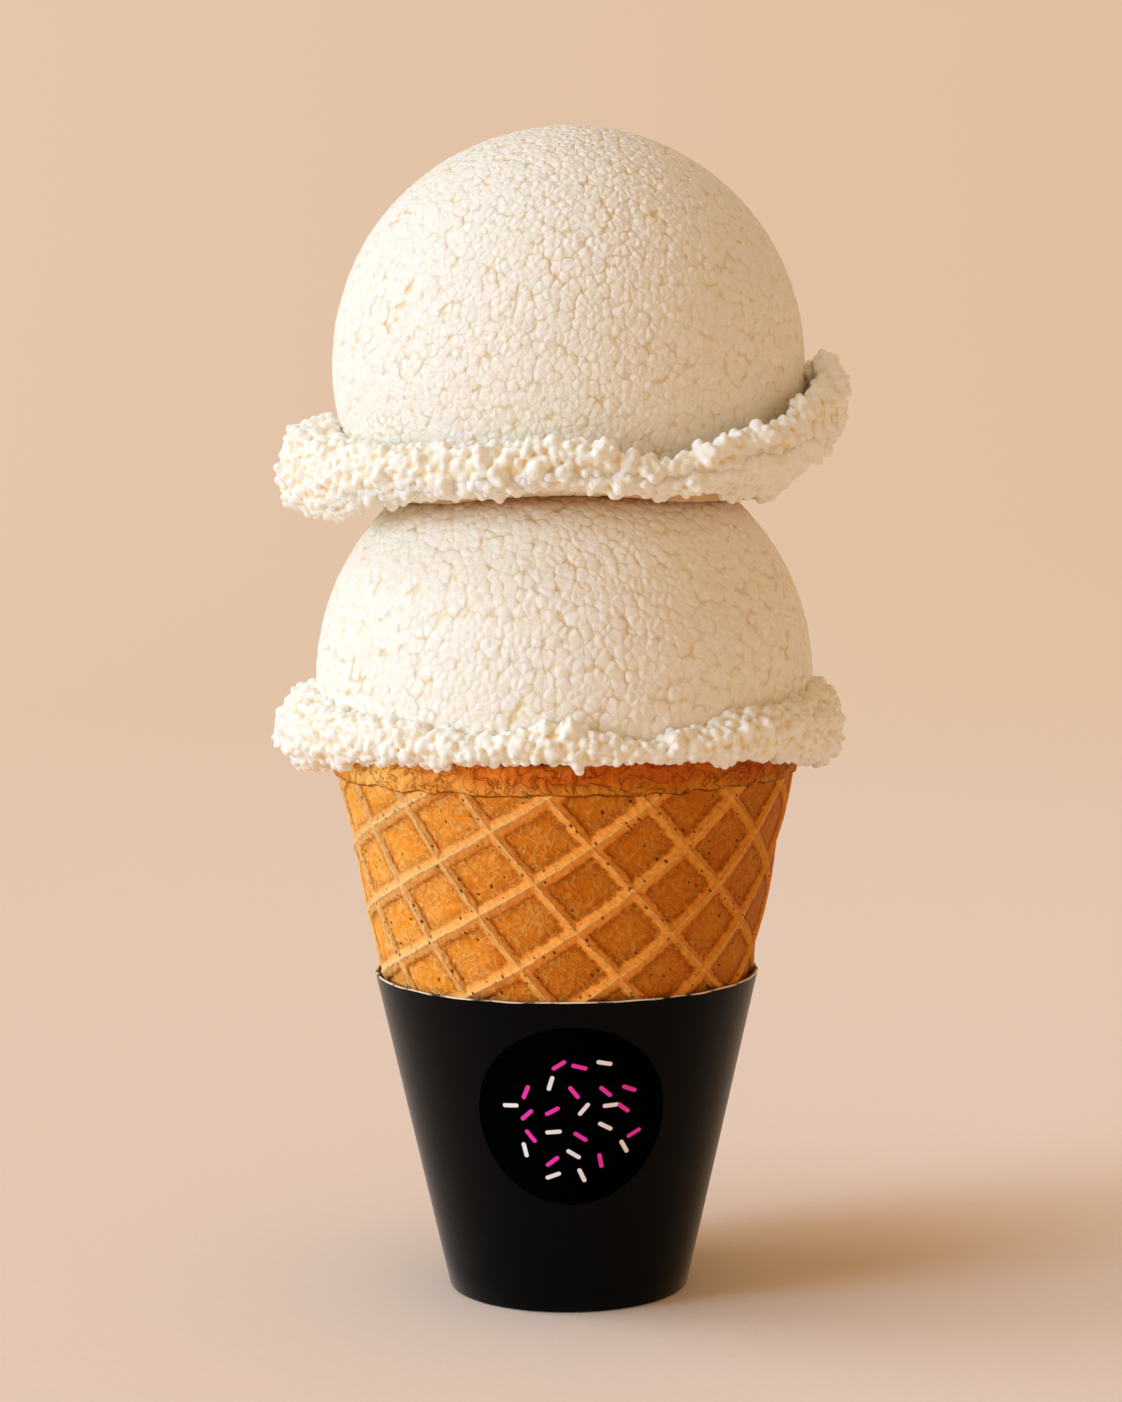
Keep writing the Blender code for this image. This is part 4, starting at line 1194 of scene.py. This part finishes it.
# %% Black card and its pale cut edge
CARD_FIBRE = MM / 1.5
CARD_WAVE = MM / 0.06
NICK_SIZE = MM / 0.42
card, tree, shader = new_material("black_satin_card")
place = add_node(tree, "ShaderNodeTexCoord").outputs["Object"]
fibres = add_node(tree, "ShaderNodeTexNoise", {"Vector": place, "Scale": 1.0 / CARD_FIBRE, "Detail": 3.0})
waves = add_node(tree, "ShaderNodeTexNoise", {"Vector": place, "Scale": 1.0 / CARD_WAVE, "Detail": 1.0})
gloss = add_node(tree, "ShaderNodeMapRange", [fibres, 0.0, 1.0, 0.36, 0.52])
fibre_bump = add_node(tree, "ShaderNodeBump",
                      {"Strength": 0.12, "Distance": 0.05 * MM, "Height": fibres})
wave_bump = add_node(tree, "ShaderNodeBump", {"Strength": 0.25, "Distance": 0.4 * MM, "Height": waves,
                                              "Normal": fibre_bump})
give_inputs(shader, {"Base Color": linear("#030303"), "Roughness": gloss, "Normal": wave_bump,
                     "IOR": 1.13, "Sheen Weight": 0.5, "Sheen Roughness": 0.3})

cut_edge, tree, shader = new_material("cut_card_edge")
place = add_node(tree, "ShaderNodeTexCoord").outputs["Object"]
nicks = add_node(tree, "ShaderNodeTexNoise", {"Vector": place, "Scale": 1.0 / NICK_SIZE, "Detail": 2.0})
edge_colour = ramp_colours(add_node(tree, "ShaderNodeValToRGB", [nicks]),
                           ((0.38, "#2a231c"), (0.46, "#d9c4a8"), (0.6, "#efe0ca")))
give_inputs(shader, {"Base Color": edge_colour, "Roughness": 0.85})

finish_piece(sleeve, "black_sleeve", "card_sleeve", [card, cut_edge])
for face in sleeve.data.polygons:
    lowest = min(sleeve.data.vertices[index].co.z for index in face.vertices)
    if lowest > SLEEVE_HEIGHT - 0.5 * MM:
        face.material_index = 1
print("fibres", round(CARD_FIBRE / MM, 2), "mm, waves", round(CARD_WAVE / MM), "mm")

# %% [markdown]
# ## Sticker
# A round paper sticker lies on the front of the sleeve. A circle's faces would meet in one point,
# so a square grid is pushed out to a disc, which keeps its faces even. The disc gets its
# thickness flat and is then wrapped: its flat places are read as places on the unrolled sleeve.

# %% Make and wrap the sticker
STICKER_RADIUS = 11.9 * MM
STICKER_MIDDLE = 26.5 * MM
STICKER_SHIFT = 0.5 * MM
STICKER_THICKNESS = 0.12 * MM
GLUE = 0.04 * MM
start_fresh()
bpy.ops.mesh.primitive_grid_add(x_subdivisions=48, y_subdivisions=48, size=2.0)
sticker = bpy.context.object
for vertex in sticker.data.vertices:
    x, y = vertex.co.x, vertex.co.y
    vertex.co.x = x * math.sqrt(1.0 - y * y / 2.0) * STICKER_RADIUS
    vertex.co.y = y * math.sqrt(1.0 - x * x / 2.0) * STICKER_RADIUS
thick = sticker.modifiers.new("thickness", "SOLIDIFY")
thick.thickness = STICKER_THICKNESS
thick.offset = 1.0
apply_modifier(sticker, thick)
kept = sticker.data.attributes.new("print_place", "FLOAT_VECTOR", "POINT")
slope = math.atan(SLEEVE_TAPER)
base_slant = SLEEVE_BASE_RADIUS / math.sin(slope)
print_places = []
for vertex in sticker.data.vertices:
    across, up, proud = vertex.co
    print_places += [across, up, 0.0]
    slant = STICKER_MIDDLE / math.cos(slope) + base_slant + up
    slant_here = math.hypot(slant, across + STICKER_SHIFT)
    turn_here = math.atan2(across + STICKER_SHIFT, slant) / math.sin(slope)
    lifted = proud + GLUE
    reach = slant_here * math.sin(slope) + lifted * math.cos(slope)
    height = (slant_here - base_slant) * math.cos(slope)
    vertex.co = (reach * math.sin(turn_here), -reach * math.cos(turn_here),
                 height - lifted * math.sin(slope))
kept.data.foreach_set("vector", print_places)
start_fresh(sticker)
bpy.ops.object.shade_smooth_by_angle(angle=math.radians(40.0))
print("sticker wrapped,", round(2 * STICKER_RADIUS / MM, 1), "mm across")

# %% [markdown]
# The sticker is uncoated paper, printed matte black, so it swallows light and looks flatter than
# the card. Its print is a generic one of pink and white sprinkles. A Voronoi pattern gives each
# sprinkle its place, and the cell's random colour its turn and its ink. A sprinkle is all that
# lies within a quarter of a millimetre of a short line.

# %% Sticker print of sprinkles
SPRINKLE_CELL = 3.1 * MM
SPRINKLE_HALF = 0.75 * MM
SPRINKLE_RADIUS = 0.24 * MM
PRINT_RADIUS = 8.6 * MM
INK_EDGE = 0.06 * MM
FULL_TURN = 6.28
PAPER_FIBRE = MM / 3.0
printed, tree, shader = new_material("matte_black_printed_paper")
flat = add_node(tree, "ShaderNodeAttribute", attribute_name="print_place").outputs["Vector"]
cells = add_node(tree, "ShaderNodeTexVoronoi",
                 {"Vector": flat, "Scale": 1.0 / SPRINKLE_CELL, "Randomness": 0.55},
                 feature="F1", voronoi_dimensions="2D")
middle = add_node(tree, "ShaderNodeVectorMath", [flat, cells.outputs["Position"]], operation="SUBTRACT")
chance = add_node(tree, "ShaderNodeSeparateXYZ", [cells.outputs["Color"]])
angle = add_node(tree, "ShaderNodeMath", [chance, FULL_TURN], operation="MULTIPLY")
turned = add_node(tree, "ShaderNodeVectorRotate", {"Vector": middle, "Angle": angle},
                  rotation_type="Z_AXIS")
part = add_node(tree, "ShaderNodeSeparateXYZ", [turned])
along = add_node(tree, "ShaderNodeMath", [part], operation="ABSOLUTE")
past_end = add_node(tree, "ShaderNodeMath", [along, SPRINKLE_HALF], operation="SUBTRACT")
beyond = add_node(tree, "ShaderNodeMath", [past_end, 0.0], operation="MAXIMUM")
from_line = add_node(tree, "ShaderNodeCombineXYZ", [beyond, part.outputs[1]])
off_line = add_node(tree, "ShaderNodeVectorMath", [from_line], operation="LENGTH")
sprinkle = add_node(tree, "ShaderNodeMapRange",
                    [off_line, SPRINKLE_RADIUS, SPRINKLE_RADIUS + INK_EDGE, 1.0, 0.0])
from_centre = add_node(tree, "ShaderNodeVectorMath", [cells.outputs["Position"]], operation="LENGTH")
inside = add_node(tree, "ShaderNodeMath", [from_centre, PRINT_RADIUS], operation="LESS_THAN")
shown = add_node(tree, "ShaderNodeMath", [sprinkle, inside], operation="MULTIPLY")
pink = add_node(tree, "ShaderNodeMath", [chance.outputs[1], 0.5], operation="LESS_THAN")
ink = add_node(tree, "ShaderNodeMix", {0: pink, 6: linear("#f4f2f4"), 7: linear("#ee3fb4")}, **COLOUR)
colour = add_node(tree, "ShaderNodeMix", {0: shown, 6: linear("#010101"), 7: ink}, **COLOUR)
fibres = add_node(tree, "ShaderNodeTexNoise", {"Vector": flat, "Scale": 1.0 / PAPER_FIBRE})
bump = add_node(tree, "ShaderNodeBump", {"Strength": 0.08, "Distance": 0.03 * MM, "Height": fibres})
give_inputs(shader, {"Base Color": colour, "Normal": bump, "Roughness": 0.8, "IOR": 1.05})
finish_piece(sticker, "round_sticker", "round_label", [printed])
